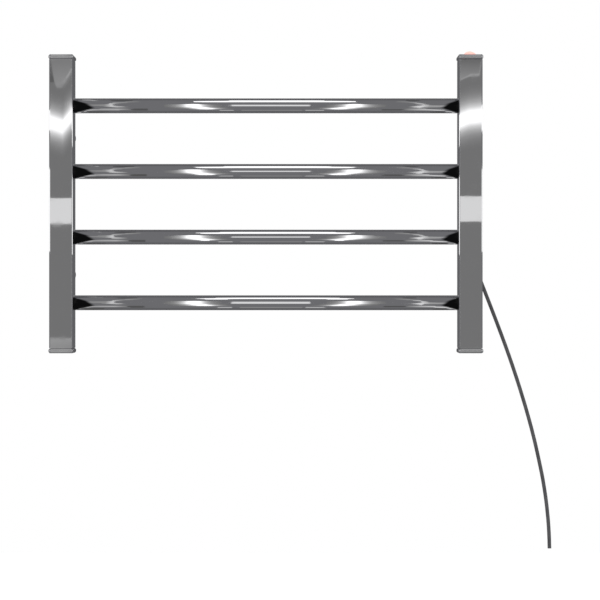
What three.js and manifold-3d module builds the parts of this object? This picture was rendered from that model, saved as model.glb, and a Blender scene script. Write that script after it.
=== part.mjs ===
// A wall-hung towel warmer rack: two rectangular uprights joined by round heated rungs, held off the
// wall by round posts, with a lit push button on top of one upright and a cord from its back.
// Millimetres. The origin is the centre of the wall posts' pattern, on the wall's face.
// +X runs to the switch side, +Y into the wall and +Z up.

import * as THREE from "three";
import { mergeVertices } from "three/addons/utils/BufferGeometryUtils.js";
import Module from "manifold-3d";

const wasm = await Module();
wasm.setup();

// Fits shared by all pieces
const clearance = 0.3; // between a piece and its seat
const overrun = 1; // how far a cut runs past the face that it opens
const weldTolerance = 1e-4; // vertices nearer than this are one

// Uprights
const uprightSpacing = 519;
const uprightWidth = 30;
const uprightDepth = 40;
const uprightLength = 366;
const uprightWall = 1.5;
const uprightCorner = 2;
const uprightInnerCorner = 0.5;
const wallGap = 64; // from the uprights' back faces to the wall

// Rungs
const rungCount = 4;
const rungDiameter = 19;
const rungWall = 1.2;
const rungPitch = 83.6;
const rungInsertion = 4; // how far a rung's end stands inside its upright

// End caps
const capThickness = 6.4;
const capOverhang = 1;
const capEdgeShare = 0.41; // radius of the rounded edge, of the thickness
const plugThickness = 2;
const plugLength = 12;

// Wall brackets
const bracketSpacing = 178;
const postDiameter = 20;
const postChamfer = 0.6;
const spigotDiameter = 14;
const spigotLength = 16;
const spigotGrooveDepth = 1.5;
const spigotGrooveEdge = 0.8; // how far each side of the groove slopes
const wallScrewHole = 5;
const wallScrewHead = 9.5;
const studDiameter = 6;
const studDepthInPost = 14;
const nutAcrossFlats = 10;
const nutThickness = 5;
const studPastNut = 1;
const grubDiameter = 4;
const grubSink = 0.3;
const grubSocket = 2;
const grubSocketDepth = 2;

// Push switch
const lensDiameter = 17.6;
const lensDomeRadius = 10;
const lensRise = 0.1; // straight part of the lens above the cap
const lensWall = 1.4;
const plungerWall = 1.5;
const flangeOverhang = 0.8;
const flangeThickness = 1.5;
const plungerRise = 4.2; // of the plunger's tube above its flange
const travelRoom = 7; // under the flange, for the travel and the closed spring
const housingHeight = 12;
const housingCorner = 1.2;
const springWire = 0.8;
const springTurns = 4.5;
const springCoil = 10.4; // mean diameter
const lampDiameter = 5;
const lampFlange = 0.4;
const lampFlangeThickness = 1;
const lampRise = 4; // of the lamp above the plunger's flange
const switchScrewDiameter = 2.8;
const switchScrewHead = 5.4;
const switchScrewHeadHeight = 2;
const switchScrewBite = 3; // into the cap
const switchScrewInset = 3; // from the housing's sides
const tabWidth = 4.8;
const tabThickness = 0.8;
const tabLength = 6;
const tabSideInset = 4.2; // of the live tab from the housing's side
const tabBackInset = 8.9; // of the live tab from the housing's back
const tabFrontInset = 3.9; // of the switched tab from the housing's front

// Cord and gland
const cordDiameter = 4.8;
const glandHeight = -49; // of the gland's axis
const glandThread = 12;
const glandInside = 7.5; // length inside the upright's back face
const glandFlange = 17;
const glandFlangeThickness = 3;
const reliefLength = 22;
const reliefRoot = 12.4;
const reliefTip = 7.2;
const reliefGrooves = 4;
const reliefGrooveWidth = 1.4;
const reliefGrooveDepth = 0.9;
const reliefGroovePitch = 3.6;
const glandNutAcrossFlats = 15;
const glandNutThickness = 3.5;
const cordTail = 1; // of the cord past the gland, inside

// Heating and wiring
const heatingCable = 5;
const heatingBend = 12;
const heatingTail = 8.5; // straight run from the last bend to the splice
const spliceDiameter = 6.4;
const spliceLength = 20;
const cutoutWidth = 10;
const cutoutDepth = 6;
const cutoutLength = 22;
const cutoutCorner = 1.5;
const leadDiameter = 1.5;
const leadBend = 2;
const coreCircle = 1.25; // radius that the cord's cores lie on
const leadTurn = 4.5; // from the cord's cut face to where the leads turn
const earthTurn = 2.8;
const earthChannel = 5;
const leadDrop = 13; // of the leads beyond a piece before they turn
const earthHeight = -14;
const earthStudDiameter = 4;
const earthStudLength = 8;
const earthNutAcrossFlats = 7;
const earthNutThickness = 3.2;
const ringOuter = 8;
const ringHole = 4.6;
const ringThickness = 0.8;
const ringStandoff = 3; // of the ring from the upright's back wall
const ringTailWidth = 3;
const ringTailLength = 9;

// Counts of facets
const rungSides = 36;
const postSides = 24;
const innerSides = 18; // of turned pieces that are hidden
const screwSides = 12;
const hexSides = 6;
const cornerSteps = 3;
const edgeSteps = 3;
const domeSteps = 6;
const bendSteps = 4;
const cableSides = 6;
const leadSides = 5;
const springSteps = 8; // each turn
const springSides = 5;
const cordSides = 8;
const cordSteps = 44;

// The free cord's centre line from the gland's tip to its cut end
const cordRoute = [
  [259.5, -41.7, -49],
  [259.5, -36.5, -49],
  [259.5, -31.5, -49.1],
  [260.5, -22, -51.6],
  [263.2, -14.9, -58.3],
  [266.8, -12.2, -67.6],
  [274.9, -12, -88.1],
  [282.8, -12, -108.2],
  [288.9, -12, -123.9],
  [298, -12, -147.5],
  [309.6, -12, -178.5],
  [320.6, -12, -209.8],
  [330.7, -12, -241],
  [340, -12, -272.3],
  [348.2, -12, -303.5],
  [355.2, -12, -334.8],
  [358.4, -12, -350.4],
  [361.1, -12, -366],
  [363.4, -12, -381.6],
  [365.2, -12, -397.3],
  [366.6, -12, -412.9],
  [367.5, -12, -428.5],
  [368, -12, -445.2],
];

// Sizes worked out from those above
const innerWidth = uprightWidth - 2 * uprightWall;
const innerDepth = uprightDepth - 2 * uprightWall;
const backWall = innerDepth / 2; // inner face of an upright's back wall, from its axis
const uprightTop = uprightLength / 2;
const axisToWall = wallGap + uprightDepth / 2;
const rungReach = uprightSpacing / 2 - innerWidth / 2 + rungInsertion;
const rungHeight = (index) => rungPitch * ((rungCount - 1) / 2 - index);
const lensBase = uprightTop + capThickness;
const capUnderside = uprightTop;
const lensRadius = lensDiameter / 2;
const lensBore = lensRadius - lensWall;
const flangeTop = capUnderside - clearance;
const flangeBottom = flangeTop - flangeThickness;
const flangeRadius = lensRadius + flangeOverhang;
const plungerRadius = lensBore - clearance;
const plungerBore = plungerRadius - plungerWall;
const wellRadius = flangeRadius + clearance;
const wellFloor = flangeBottom - travelRoom;
const housingTop = capUnderside - clearance;
const housingBottom = housingTop - housingHeight;
const housingWidth = innerWidth - 2 * clearance;
const plugSpan = innerDepth - 2 * clearance;
const housingLength = plugSpan - 2 * plugThickness - 2 * clearance;
const tabBottom = housingBottom - clearance - tabLength;
const liveChannel = housingWidth / 2 - tabSideInset; // across, from the upright's axis
const liveTabOffset = housingLength / 2 - tabBackInset;
const switchedTabOffset = tabFrontInset - housingLength / 2;
const glandInnerFace = uprightDepth / 2 - glandInside;
const cordFace = glandInnerFace - cordTail;
const coreStart = cordFace - clearance;
const leadTurnFace = cordFace - leadTurn;

// Materials
const finish = (name, color, roughness, metalness, extra = {}) =>
  new THREE.MeshStandardMaterial({ name, color, roughness, metalness, ...extra });
const chrome = finish("chrome", 0x8e8f93, 0.1, 1);
const steel = finish("zinc_steel", 0xa6a8aa, 0.4, 1);
const brass = finish("brass", 0xb08d4a, 0.35, 1);
const blackPlastic = finish("black_plastic", 0x242426, 0.5, 0);
const lensPlastic = finish("lens_plastic", 0xff9c8a, 0.15, 0, { transparent: true, opacity: 0.7 });
const lampPlastic = finish("lamp", 0xffd9c8, 0.2, 0, { emissive: 0xff5a3c });
const cordRubber = finish("cord_rubber", 0x414244, 0.55, 0);
const cableSilicone = finish("silicone", 0xb7482f, 0.6, 0);
const sleeving = finish("sleeving", 0xd9d4c8, 0.5, 0);
const ceramic = finish("cutout_case", 0xe6e2d8, 0.45, 0);
const liveCover = finish("live_cover", 0x6b4426, 0.5, 0);
const neutralCover = finish("neutral_cover", 0x2b4f8e, 0.5, 0);
const earthCover = finish("earth_cover", 0x6f9a35, 0.5, 0);

// Solids and booleans

function solidOf(geometry) {
  const bare = geometry.clone();
  bare.deleteAttribute("normal");
  bare.deleteAttribute("uv");
  const merged = mergeVertices(bare, weldTolerance);
  return new wasm.Manifold(
    new wasm.Mesh({
      numProp: 3,
      vertProperties: merged.attributes.position.array,
      triVerts: new Uint32Array(merged.index.array),
    }),
  );
}

function geometryOf(solid) {
  const mesh = solid.getMesh();
  const geometry = new THREE.BufferGeometry();
  geometry.setAttribute("position", new THREE.BufferAttribute(mesh.vertProperties, 3));
  geometry.setIndex(new THREE.BufferAttribute(mesh.triVerts, 1));
  geometry.computeVertexNormals();
  return geometry;
}

function cut(base, tools) {
  const left = tools.reduce((solid, tool) => solid.subtract(solidOf(tool)), solidOf(base));
  return geometryOf(left);
}

function join(pieces) {
  const [first, ...others] = pieces.map(solidOf);
  return geometryOf(others.reduce((solid, other) => solid.add(other), first));
}

// Outlines and basic forms. Each form is made along +Z; alongX and alongY lay it down.

const alongX = (geometry) => geometry.rotateY(Math.PI / 2);
const alongY = (geometry) => geometry.rotateX(-Math.PI / 2);

function roundedOutline(width, depth, corner, Form = THREE.Shape) {
  const x = width / 2 - corner;
  const y = depth / 2 - corner;
  const outline = new Form();
  outline.absarc(x, y, corner, 0, Math.PI / 2);
  outline.absarc(-x, y, corner, Math.PI / 2, Math.PI);
  outline.absarc(-x, -y, corner, Math.PI, 1.5 * Math.PI);
  outline.absarc(x, -y, corner, 1.5 * Math.PI, 2 * Math.PI);
  outline.closePath();
  return outline;
}

function prism(shape, from, to) {
  const options = { depth: to - from, bevelEnabled: false, curveSegments: cornerSteps };
  return new THREE.ExtrudeGeometry(shape, options).translate(0, 0, from);
}

function rod(radius, from, to, sides = screwSides) {
  return new THREE.CylinderGeometry(radius, radius, to - from, sides)
    .rotateX(Math.PI / 2)
    .translate(0, 0, (from + to) / 2);
}

function hexBar(acrossFlats, from, to) {
  return rod(acrossFlats / 2 / Math.cos(Math.PI / hexSides), from, to, hexSides);
}

// Turns a profile of [radius, height] points round +Z. It runs up outer walls and down inner ones.
function turned(profile, sides) {
  const points = profile.map(([radius, height]) => new THREE.Vector2(radius, height));
  return new THREE.LatheGeometry(points, sides).rotateX(Math.PI / 2);
}

// Points of a dome's profile from its rim up to its axis.
function domeProfile(sphereRadius, rimRadius, rimHeight) {
  const rimAngle = Math.asin(rimRadius / sphereRadius);
  const centre = rimHeight - sphereRadius * Math.cos(rimAngle);
  return Array.from({ length: domeSteps + 1 }, (_, step) => {
    const angle = rimAngle * (1 - step / domeSteps);
    return [sphereRadius * Math.sin(angle), centre + sphereRadius * Math.cos(angle)];
  });
}

// A route of straight runs joined by bends, with stations only at the runs' ends and round the bends.
class Route extends THREE.Curve {
  constructor(corners, bend) {
    super();
    this.stations = [corners[0]];
    for (let i = 1; i < corners.length - 1; i++) {
      const at = corners[i];
      const back = corners[i - 1].clone().sub(at).setLength(bend).add(at);
      const ahead = corners[i + 1].clone().sub(at).setLength(bend).add(at);
      const arc = new THREE.QuadraticBezierCurve3(back, at, ahead);
      this.stations.push(...arc.getPoints(bendSteps));
    }
    this.stations.push(corners.at(-1));
  }

  getPoint(t, target = new THREE.Vector3()) {
    const last = this.stations.length - 1;
    const place = THREE.MathUtils.clamp(t, 0, 1) * last;
    const from = Math.min(Math.floor(place), last - 1);
    return target.lerpVectors(this.stations[from], this.stations[from + 1], place - from);
  }

  getTangent(t, target = new THREE.Vector3()) {
    const last = this.stations.length - 1;
    const near = Math.round(THREE.MathUtils.clamp(t, 0, 1) * last);
    const here = this.stations[near];
    const before = this.stations[near - 1] ?? here;
    const after = this.stations[near + 1] ?? here;
    const arriving = here.clone().sub(before).normalize();
    return target.copy(after).sub(here).normalize().add(arriving).normalize();
  }

  getUtoTmapping(u) {
    return u;
  }
}

function sweep(path, radius, sides, steps) {
  const corners = Array.from({ length: sides }, (_, side) => {
    const angle = (2 * Math.PI * side) / sides;
    return new THREE.Vector2(radius * Math.cos(angle), radius * Math.sin(angle));
  });
  const options = { steps, extrudePath: path, bevelEnabled: false };
  return new THREE.ExtrudeGeometry(new THREE.Shape(corners), options);
}

function wire(corners, diameter, sides, bend) {
  const route = new Route(corners, bend);
  return sweep(route, diameter / 2, sides, route.stations.length - 1);
}

const place = (x, y, z) => new THREE.Vector3(x, y, z);

function addPiece(group, name, geometry, material) {
  const mesh = new THREE.Mesh(geometry, material);
  mesh.name = name;
  group.add(mesh);
  return mesh;
}

// Frame

function uprightGeometry(side) {
  const outline = roundedOutline(uprightWidth, uprightDepth, uprightCorner);
  outline.holes.push(roundedOutline(innerWidth, innerDepth, uprightInnerCorner, THREE.Path));
  const tube = prism(outline, -uprightTop, uprightTop);

  const outside = uprightWidth / 2 + overrun;
  const [from, to] = side > 0 ? [-outside, 0] : [0, outside];
  const rungBore = rungDiameter / 2 + clearance;
  const drills = Array.from({ length: rungCount }, (_, index) =>
    alongX(rod(rungBore, from, to, rungSides)).translate(0, 0, rungHeight(index)),
  );

  const behind = uprightDepth / 2 + overrun;
  const studBore = studDiameter / 2 + clearance;
  for (const level of [-1, 1]) {
    drills.push(alongY(rod(studBore, 0, behind)).translate(0, 0, (level * bracketSpacing) / 2));
  }
  if (side > 0) {
    const glandBore = glandThread / 2 + clearance;
    drills.push(alongY(rod(glandBore, 0, behind, postSides)).translate(0, 0, glandHeight));
  }
  return cut(tube, drills);
}

function rungGeometry() {
  const outer = rungDiameter / 2;
  const inner = outer - rungWall;
  const profile = [
    [inner, -rungReach],
    [outer, -rungReach],
    [outer, rungReach],
    [inner, rungReach],
    [inner, -rungReach],
  ];
  return alongX(turned(profile, rungSides));
}

// An end cap with a full round edge, and two legs that plug into the upright. It faces +Z from height 0.
function capGeometry() {
  const edge = capEdgeShare * capThickness;
  const width = uprightWidth + 2 * capOverhang;
  const depth = uprightDepth + 2 * capOverhang;
  const plate = new THREE.ExtrudeGeometry(
    roundedOutline(width, depth, uprightCorner + capOverhang),
    {
      depth: capThickness - clearance - 2 * edge,
      bevelThickness: edge,
      bevelSize: edge,
      bevelOffset: -edge,
      bevelSegments: edgeSteps,
      curveSegments: cornerSteps,
    },
  ).translate(0, 0, clearance + edge);
  const legs = [-1, 1].map((end) =>
    new THREE.BoxGeometry(innerWidth - 2 * clearance, plugThickness, plugLength + capThickness / 2)
      .translate(0, (end * (plugSpan - plugThickness)) / 2, (capThickness / 2 - plugLength) / 2),
  );
  return join([plate, ...legs]);
}

function switchCapGeometry() {
  const lensHole = rod(lensRadius + clearance, -overrun, capThickness + overrun, postSides);
  const pilots = switchScrewPlaces().map(({ x, y }) =>
    rod(switchScrewDiameter / 2 + clearance, -overrun, switchScrewBite + 2 * clearance)
      .translate(x, y, 0),
  );
  return cut(capGeometry(), [lensHole, ...pilots]);
}

function buildFrame(rack) {
  for (let index = 0; index < rungCount; index++) {
    const rung = addPiece(rack, `rung_${index + 1}`, rungGeometry(), chrome);
    rung.position.set(0, -axisToWall, rungHeight(index));
  }
  for (const [sideName, side] of [["left", -1], ["right", 1]]) {
    const upright = new THREE.Group();
    upright.position.set((side * uprightSpacing) / 2, -axisToWall, 0);
    rack.add(upright);
    addPiece(upright, `upright_${sideName}`, uprightGeometry(side), chrome);

    const topCap = side > 0 ? switchCapGeometry() : capGeometry();
    addPiece(upright, `end_cap_top_${sideName}`, topCap, chrome).position.z = uprightTop;
    const bottomCap = addPiece(upright, `end_cap_bottom_${sideName}`, capGeometry(), chrome);
    bottomCap.rotation.x = Math.PI;
    bottomCap.position.z = -uprightTop;
  }
}

// Wall brackets. Each is built along +Y, with the wall at y = 0.

function postGeometry() {
  const outer = postDiameter / 2;
  const front = -wallGap + clearance;
  const studBore = studDiameter / 2 + clearance;
  const spigotBore = spigotDiameter / 2 + clearance;
  const shell = turned(
    [
      [0, front + studDepthInPost],
      [studBore, front + studDepthInPost],
      [studBore, front],
      [outer, front],
      [outer, -postChamfer],
      [outer - postChamfer, 0],
      [spigotBore, 0],
      [spigotBore, -spigotLength - clearance],
      [0, -spigotLength - clearance],
    ],
    postSides,
  );
  const grubBore = rod(grubDiameter / 2 + clearance, -outer - overrun, 0)
    .translate(0, -spigotLength / 2, 0);
  return cut(alongY(shell), [grubBore]);
}

function spigotGeometry() {
  const outer = spigotDiameter / 2;
  const groove = outer - spigotGrooveDepth;
  const middle = -spigotLength / 2;
  const bed = grubDiameter / 2 + clearance;
  const rim = bed + spigotGrooveEdge;
  const hole = wallScrewHole / 2;
  const head = wallScrewHead / 2;
  const profile = [
    [hole, 0],
    [outer, 0],
    [outer, middle + rim],
    [groove, middle + bed],
    [groove, middle - bed],
    [outer, middle - rim],
    [outer, -spigotLength],
    [head, -spigotLength],
    [hole, -spigotLength + head - hole],
    [hole, 0],
  ];
  // The profile starts at the wall and runs towards the rack, so it is turned over.
  return alongY(turned(profile.reverse(), innerSides));
}

function grubGeometry() {
  const bottom = -postDiameter / 2 + grubSink;
  const top = -(spigotDiameter / 2 - spigotGrooveDepth) - clearance;
  const socket = hexBar(grubSocket, bottom - overrun, bottom + grubSocketDepth);
  return cut(rod(grubDiameter / 2, bottom, top), [socket]);
}

function buildBrackets(rack) {
  const nutBack = -wallGap - uprightWall - clearance;
  const nutFront = nutBack - nutThickness;
  const studEnd = -wallGap + clearance + studDepthInPost - clearance;
  for (const [levelName, level] of [["upper", 1], ["lower", -1]]) {
    for (const [sideName, side] of [["left", -1], ["right", 1]]) {
      const name = `${levelName}_${sideName}`;
      const bracket = new THREE.Group();
      bracket.position.set((side * uprightSpacing) / 2, 0, (level * bracketSpacing) / 2);
      rack.add(bracket);

      addPiece(bracket, `wall_post_${name}`, postGeometry(), chrome);
      addPiece(bracket, `wall_spigot_${name}`, spigotGeometry(), steel);
      const grub = addPiece(bracket, `grub_screw_${name}`, grubGeometry(), steel);
      grub.position.y = -spigotLength / 2;
      const stud = alongY(rod(studDiameter / 2, nutFront - studPastNut, studEnd));
      addPiece(bracket, `bracket_stud_${name}`, stud, steel);
      const nut = cut(alongY(hexBar(nutAcrossFlats, nutFront, nutBack)), [
        alongY(rod(studDiameter / 2 + clearance, nutFront - overrun, nutBack + overrun)),
      ]);
      addPiece(bracket, `weld_nut_${name}`, nut, steel);
    }
  }
}

// Push switch, in the right upright's own frame

function switchScrewPlaces() {
  const x = housingWidth / 2 - switchScrewInset;
  const y = housingLength / 2 - switchScrewInset;
  return [{ name: "front", x, y: -y }, { name: "back", x: -x, y }];
}

function lensGeometry() {
  const rim = lensBase + lensRise;
  const bottom = flangeTop + clearance;
  return turned(
    [
      ...domeProfile(lensDomeRadius - lensWall, lensBore, rim).reverse(),
      [lensBore, bottom],
      [lensRadius, bottom],
      ...domeProfile(lensDomeRadius, lensRadius, rim),
    ],
    postSides,
  );
}

function plungerGeometry() {
  const springSeat = (springCoil - springWire) / 2 - clearance;
  const top = flangeTop + plungerRise;
  return turned(
    [
      [springSeat, flangeBottom],
      [flangeRadius, flangeBottom],
      [flangeRadius, flangeTop],
      [plungerRadius, flangeTop],
      [plungerRadius, top],
      [plungerBore, top],
      [plungerBore, flangeTop],
      [springSeat, flangeTop],
      [springSeat, flangeBottom],
    ],
    innerSides,
  );
}

class Helix extends THREE.Curve {
  constructor(radius, bottom, top, turns) {
    super();
    Object.assign(this, { radius, bottom, top, turns });
  }

  getPoint(t, target = new THREE.Vector3()) {
    const angle = 2 * Math.PI * this.turns * t;
    const height = THREE.MathUtils.lerp(this.bottom, this.top, t);
    return target.set(this.radius * Math.cos(angle), this.radius * Math.sin(angle), height);
  }
}

function springGeometry() {
  const seat = clearance + springWire / 2;
  const coil = new Helix(springCoil / 2, wellFloor + seat, flangeBottom - seat, springTurns);
  return sweep(coil, springWire / 2, springSides, Math.round(springTurns * springSteps));
}

function housingGeometry() {
  const block = prism(
    roundedOutline(housingWidth, housingLength, housingCorner),
    housingBottom,
    housingTop,
  );
  const well = rod(wellRadius, wellFloor, housingTop + overrun, postSides);
  const lampHole = rod(lampDiameter / 2 + clearance, housingBottom - overrun, housingTop);
  const screwHoles = switchScrewPlaces().map(({ x, y }) =>
    rod(switchScrewDiameter / 2 + clearance, housingBottom - overrun, housingTop + overrun)
      .translate(x, y, 0),
  );
  return cut(block, [well, lampHole, ...screwHoles]);
}

function lampGeometry() {
  const radius = lampDiameter / 2;
  const base = housingBottom - clearance - lampFlangeThickness;
  const tip = flangeTop + lampRise;
  return turned(
    [
      [0, base],
      [radius + 2 * lampFlange, base],
      [radius + 2 * lampFlange, base + lampFlangeThickness],
      [radius, base + lampFlangeThickness],
      ...domeProfile(radius, radius, tip - radius),
    ],
    screwSides,
  );
}

function switchScrewGeometry() {
  const headTop = housingBottom - clearance;
  return turned(
    [
      [0, headTop - switchScrewHeadHeight],
      [switchScrewHead / 2, headTop - switchScrewHeadHeight],
      [switchScrewHead / 2, headTop],
      [switchScrewDiameter / 2, headTop],
      [switchScrewDiameter / 2, capUnderside + switchScrewBite],
      [0, capUnderside + switchScrewBite],
    ],
    screwSides,
  );
}

function buildSwitch(upright) {
  addPiece(upright, "switch_lens", lensGeometry(), lensPlastic);
  addPiece(upright, "switch_plunger", plungerGeometry(), blackPlastic);
  addPiece(upright, "switch_spring", springGeometry(), steel);
  addPiece(upright, "switch_housing", housingGeometry(), blackPlastic);
  addPiece(upright, "switch_lamp", lampGeometry(), lampPlastic);
  for (const { name, x, y } of switchScrewPlaces()) {
    const screw = addPiece(upright, `switch_screw_${name}`, switchScrewGeometry(), steel);
    screw.position.set(x, y, 0);
  }
  const tabMiddle = tabBottom + tabLength / 2;
  const liveTab = new THREE.BoxGeometry(tabThickness, tabWidth, tabLength);
  addPiece(upright, "switch_tab_live", liveTab, brass)
    .position.set(liveChannel, liveTabOffset, tabMiddle);
  const switchedTab = new THREE.BoxGeometry(tabWidth, tabThickness, tabLength);
  addPiece(upright, "switch_tab_switched", switchedTab, brass)
    .position.set(0, switchedTabOffset, tabMiddle);
}

// Cord entry, in the right upright's own frame

function glandGeometry() {
  const face = uprightDepth / 2 + clearance;
  const shoulder = face + glandFlangeThickness;
  const tip = uprightDepth / 2 + reliefLength;
  const bore = cordDiameter / 2 + clearance;
  const taper = (y) =>
    THREE.MathUtils.mapLinear(y, shoulder, tip, reliefRoot / 2, reliefTip / 2);
  const grooves = Array.from({ length: reliefGrooves }, (_, index) => {
    const start = shoulder + reliefGroovePitch * (index + 1) - reliefGrooveWidth / 2;
    const end = start + reliefGrooveWidth;
    return [
      [taper(start), start],
      [taper(start) - reliefGrooveDepth, start],
      [taper(end) - reliefGrooveDepth, end],
      [taper(end), end],
    ];
  }).flat();
  const profile = [
    [bore, glandInnerFace],
    [glandThread / 2, glandInnerFace],
    [glandThread / 2, face],
    [glandFlange / 2, face],
    [glandFlange / 2, shoulder],
    [reliefRoot / 2, shoulder],
    ...grooves,
    [reliefTip / 2, tip],
    [bore, tip],
    [bore, glandInnerFace],
  ];
  return alongY(turned(profile, postSides)).translate(0, 0, glandHeight);
}

function buildCordEntry(upright) {
  addPiece(upright, "cord_gland", glandGeometry(), blackPlastic);

  const nutBack = backWall - clearance;
  const nutFront = nutBack - glandNutThickness;
  const nut = cut(alongY(hexBar(glandNutAcrossFlats, nutFront, nutBack)), [
    alongY(rod(glandThread / 2 + clearance, nutFront - overrun, nutBack + overrun, postSides)),
  ]);
  addPiece(upright, "gland_nut", nut, blackPlastic).position.z = glandHeight;

  const tail = alongY(rod(cordDiameter / 2, cordFace, uprightDepth / 2 + reliefLength, cordSides));
  addPiece(upright, "cord_inner_end", tail, cordRubber).position.z = glandHeight;
}

function cordGeometry() {
  const route = new THREE.CatmullRomCurve3(cordRoute.map((point) => place(...point)));
  return sweep(route, cordDiameter / 2, cordSides, cordSteps);
}

// Heating cable, in the rack's frame: in at the bottom rung, through every rung and out at the top one
function heatingCableGeometry() {
  const x = uprightSpacing / 2;
  const bottom = rungHeight(rungCount - 1);
  const top = rungHeight(0);
  const tail = heatingBend + heatingTail;
  const corners = [place(x, -axisToWall, bottom + tail)];
  for (let index = rungCount - 1; index >= 0; index--) {
    const side = (rungCount - 1 - index) % 2 === 0 ? 1 : -1;
    corners.push(place(side * x, -axisToWall, rungHeight(index)));
    corners.push(place(-side * x, -axisToWall, rungHeight(index)));
  }
  corners.push(place(x, -axisToWall, top - tail));
  return wire(corners, heatingCable, cableSides, heatingBend);
}

// Wiring, in the right upright's own frame

function buildWiring(upright) {
  const lowerSplice = rungHeight(rungCount - 1) + heatingBend + heatingTail + clearance;
  const upperSplice = rungHeight(0) - heatingBend - heatingTail - clearance - spliceLength;
  const splice = (name, bottom) =>
    addPiece(upright, name, rod(spliceDiameter / 2, bottom, bottom + spliceLength), sleeving);
  splice("splice_lower", lowerSplice);
  splice("splice_upper", upperSplice);

  const cutoutY = -backWall + clearance + cutoutDepth / 2;
  const cutoutMiddle = (rungHeight(0) + rungHeight(1)) / 2;
  const cutoutTop = cutoutMiddle + cutoutLength / 2;
  const cutoutBottom = cutoutMiddle - cutoutLength / 2;
  const cutout = prism(
    roundedOutline(cutoutWidth, cutoutDepth, cutoutCorner),
    cutoutBottom,
    cutoutTop,
  );
  addPiece(upright, "thermal_cutout", cutout, ceramic).position.y = cutoutY;

  const core = (turn) => {
    const angle = Math.PI / 2 + (2 * Math.PI * turn) / 3;
    return { x: coreCircle * Math.cos(angle), z: glandHeight + coreCircle * Math.sin(angle) };
  };
  const [live, neutral, earth] = [0, 1, 2].map(core);
  const lead = (name, corners, material) =>
    addPiece(upright, name, wire(corners, leadDiameter, leadSides, leadBend), material);

  lead(
    "lead_live",
    [
      place(live.x, coreStart, live.z),
      place(live.x, leadTurnFace, live.z),
      place(liveChannel, leadTurnFace, live.z),
      place(liveChannel, liveTabOffset, live.z + leadDrop),
      place(liveChannel, liveTabOffset, tabBottom - clearance),
    ],
    liveCover,
  );
  lead(
    "lead_neutral",
    [
      place(neutral.x, coreStart, neutral.z),
      place(neutral.x, leadTurnFace, neutral.z),
      place(0, leadTurnFace, neutral.z - leadDrop),
      place(0, 0, neutral.z - leadDrop),
      place(0, 0, lowerSplice + spliceLength + clearance),
    ],
    neutralCover,
  );
  lead(
    "lead_switched",
    [
      place(0, switchedTabOffset, tabBottom - clearance),
      place(0, switchedTabOffset, cutoutTop + 2 * leadDrop),
      place(0, cutoutY, cutoutTop + leadDrop),
      place(0, cutoutY, cutoutTop + clearance),
    ],
    liveCover,
  );
  lead(
    "lead_heater",
    [
      place(0, cutoutY, cutoutBottom - clearance),
      place(0, cutoutY, cutoutBottom - leadDrop),
      place(0, 0, cutoutBottom - leadDrop),
      place(0, 0, upperSplice - clearance),
    ],
    liveCover,
  );

  const ringFace = backWall - ringStandoff;
  const ringMiddle = ringFace - ringThickness / 2;
  const tailBottom = earthHeight - ringTailLength;
  lead(
    "lead_earth",
    [
      place(earth.x, coreStart, earth.z),
      place(earth.x, cordFace - earthTurn, earth.z),
      place(earthChannel, cordFace - earthTurn, earth.z),
      place(earthChannel, cordFace - earthTurn, earth.z + leadDrop),
      place(0, ringMiddle, tailBottom - leadDrop / 2),
      place(0, ringMiddle, tailBottom - clearance),
    ],
    earthCover,
  );

  const studFront = backWall - clearance - earthStudLength;
  const stud = alongY(rod(earthStudDiameter / 2, studFront, backWall - clearance));
  addPiece(upright, "earth_stud", stud, brass).position.z = earthHeight;

  const ringFront = ringFace - ringThickness;
  const disc = alongY(rod(ringOuter / 2, ringFront, ringFace, innerSides));
  const tail = new THREE.BoxGeometry(ringTailWidth, ringThickness, ringTailLength)
    .translate(0, ringMiddle, -ringTailLength / 2);
  const ring = cut(join([disc, tail]), [
    alongY(rod(ringHole / 2, ringFront - overrun, ringFace + overrun, innerSides)),
  ]);
  addPiece(upright, "earth_ring", ring, brass).position.z = earthHeight;

  const nutBack = ringFront - clearance;
  const nutFront = nutBack - earthNutThickness;
  const nut = cut(alongY(hexBar(earthNutAcrossFlats, nutFront, nutBack)), [
    alongY(rod(earthStudDiameter / 2 + clearance, nutFront - overrun, nutBack + overrun)),
  ]);
  addPiece(upright, "earth_nut", nut, brass).position.z = earthHeight;
}

// The whole rack

const rack = new THREE.Group();
buildFrame(rack);
buildBrackets(rack);

const insideRight = new THREE.Group();
insideRight.position.set(uprightSpacing / 2, -axisToWall, 0);
rack.add(insideRight);
buildSwitch(insideRight);
buildCordEntry(insideRight);
buildWiring(insideRight);

addPiece(rack, "heating_cable", heatingCableGeometry(), cableSilicone);
addPiece(rack, "supply_cord", cordGeometry(), cordRubber);

export default rack;
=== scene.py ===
"""Looks of a wall-hung towel warmer rack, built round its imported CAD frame.

The rack hangs on the wall y = 0 and faces -Y, +Z is up and +X is the switch side. All lengths are
in metres. Each sub-assembly is a class that builds its meshes, dresses them and reports them.
"""

import logging
import math
from collections.abc import Iterable, Sequence
from dataclasses import dataclass, field, replace
from enum import Enum

import bmesh
import bpy
from mathutils import Matrix, Vector


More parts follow.
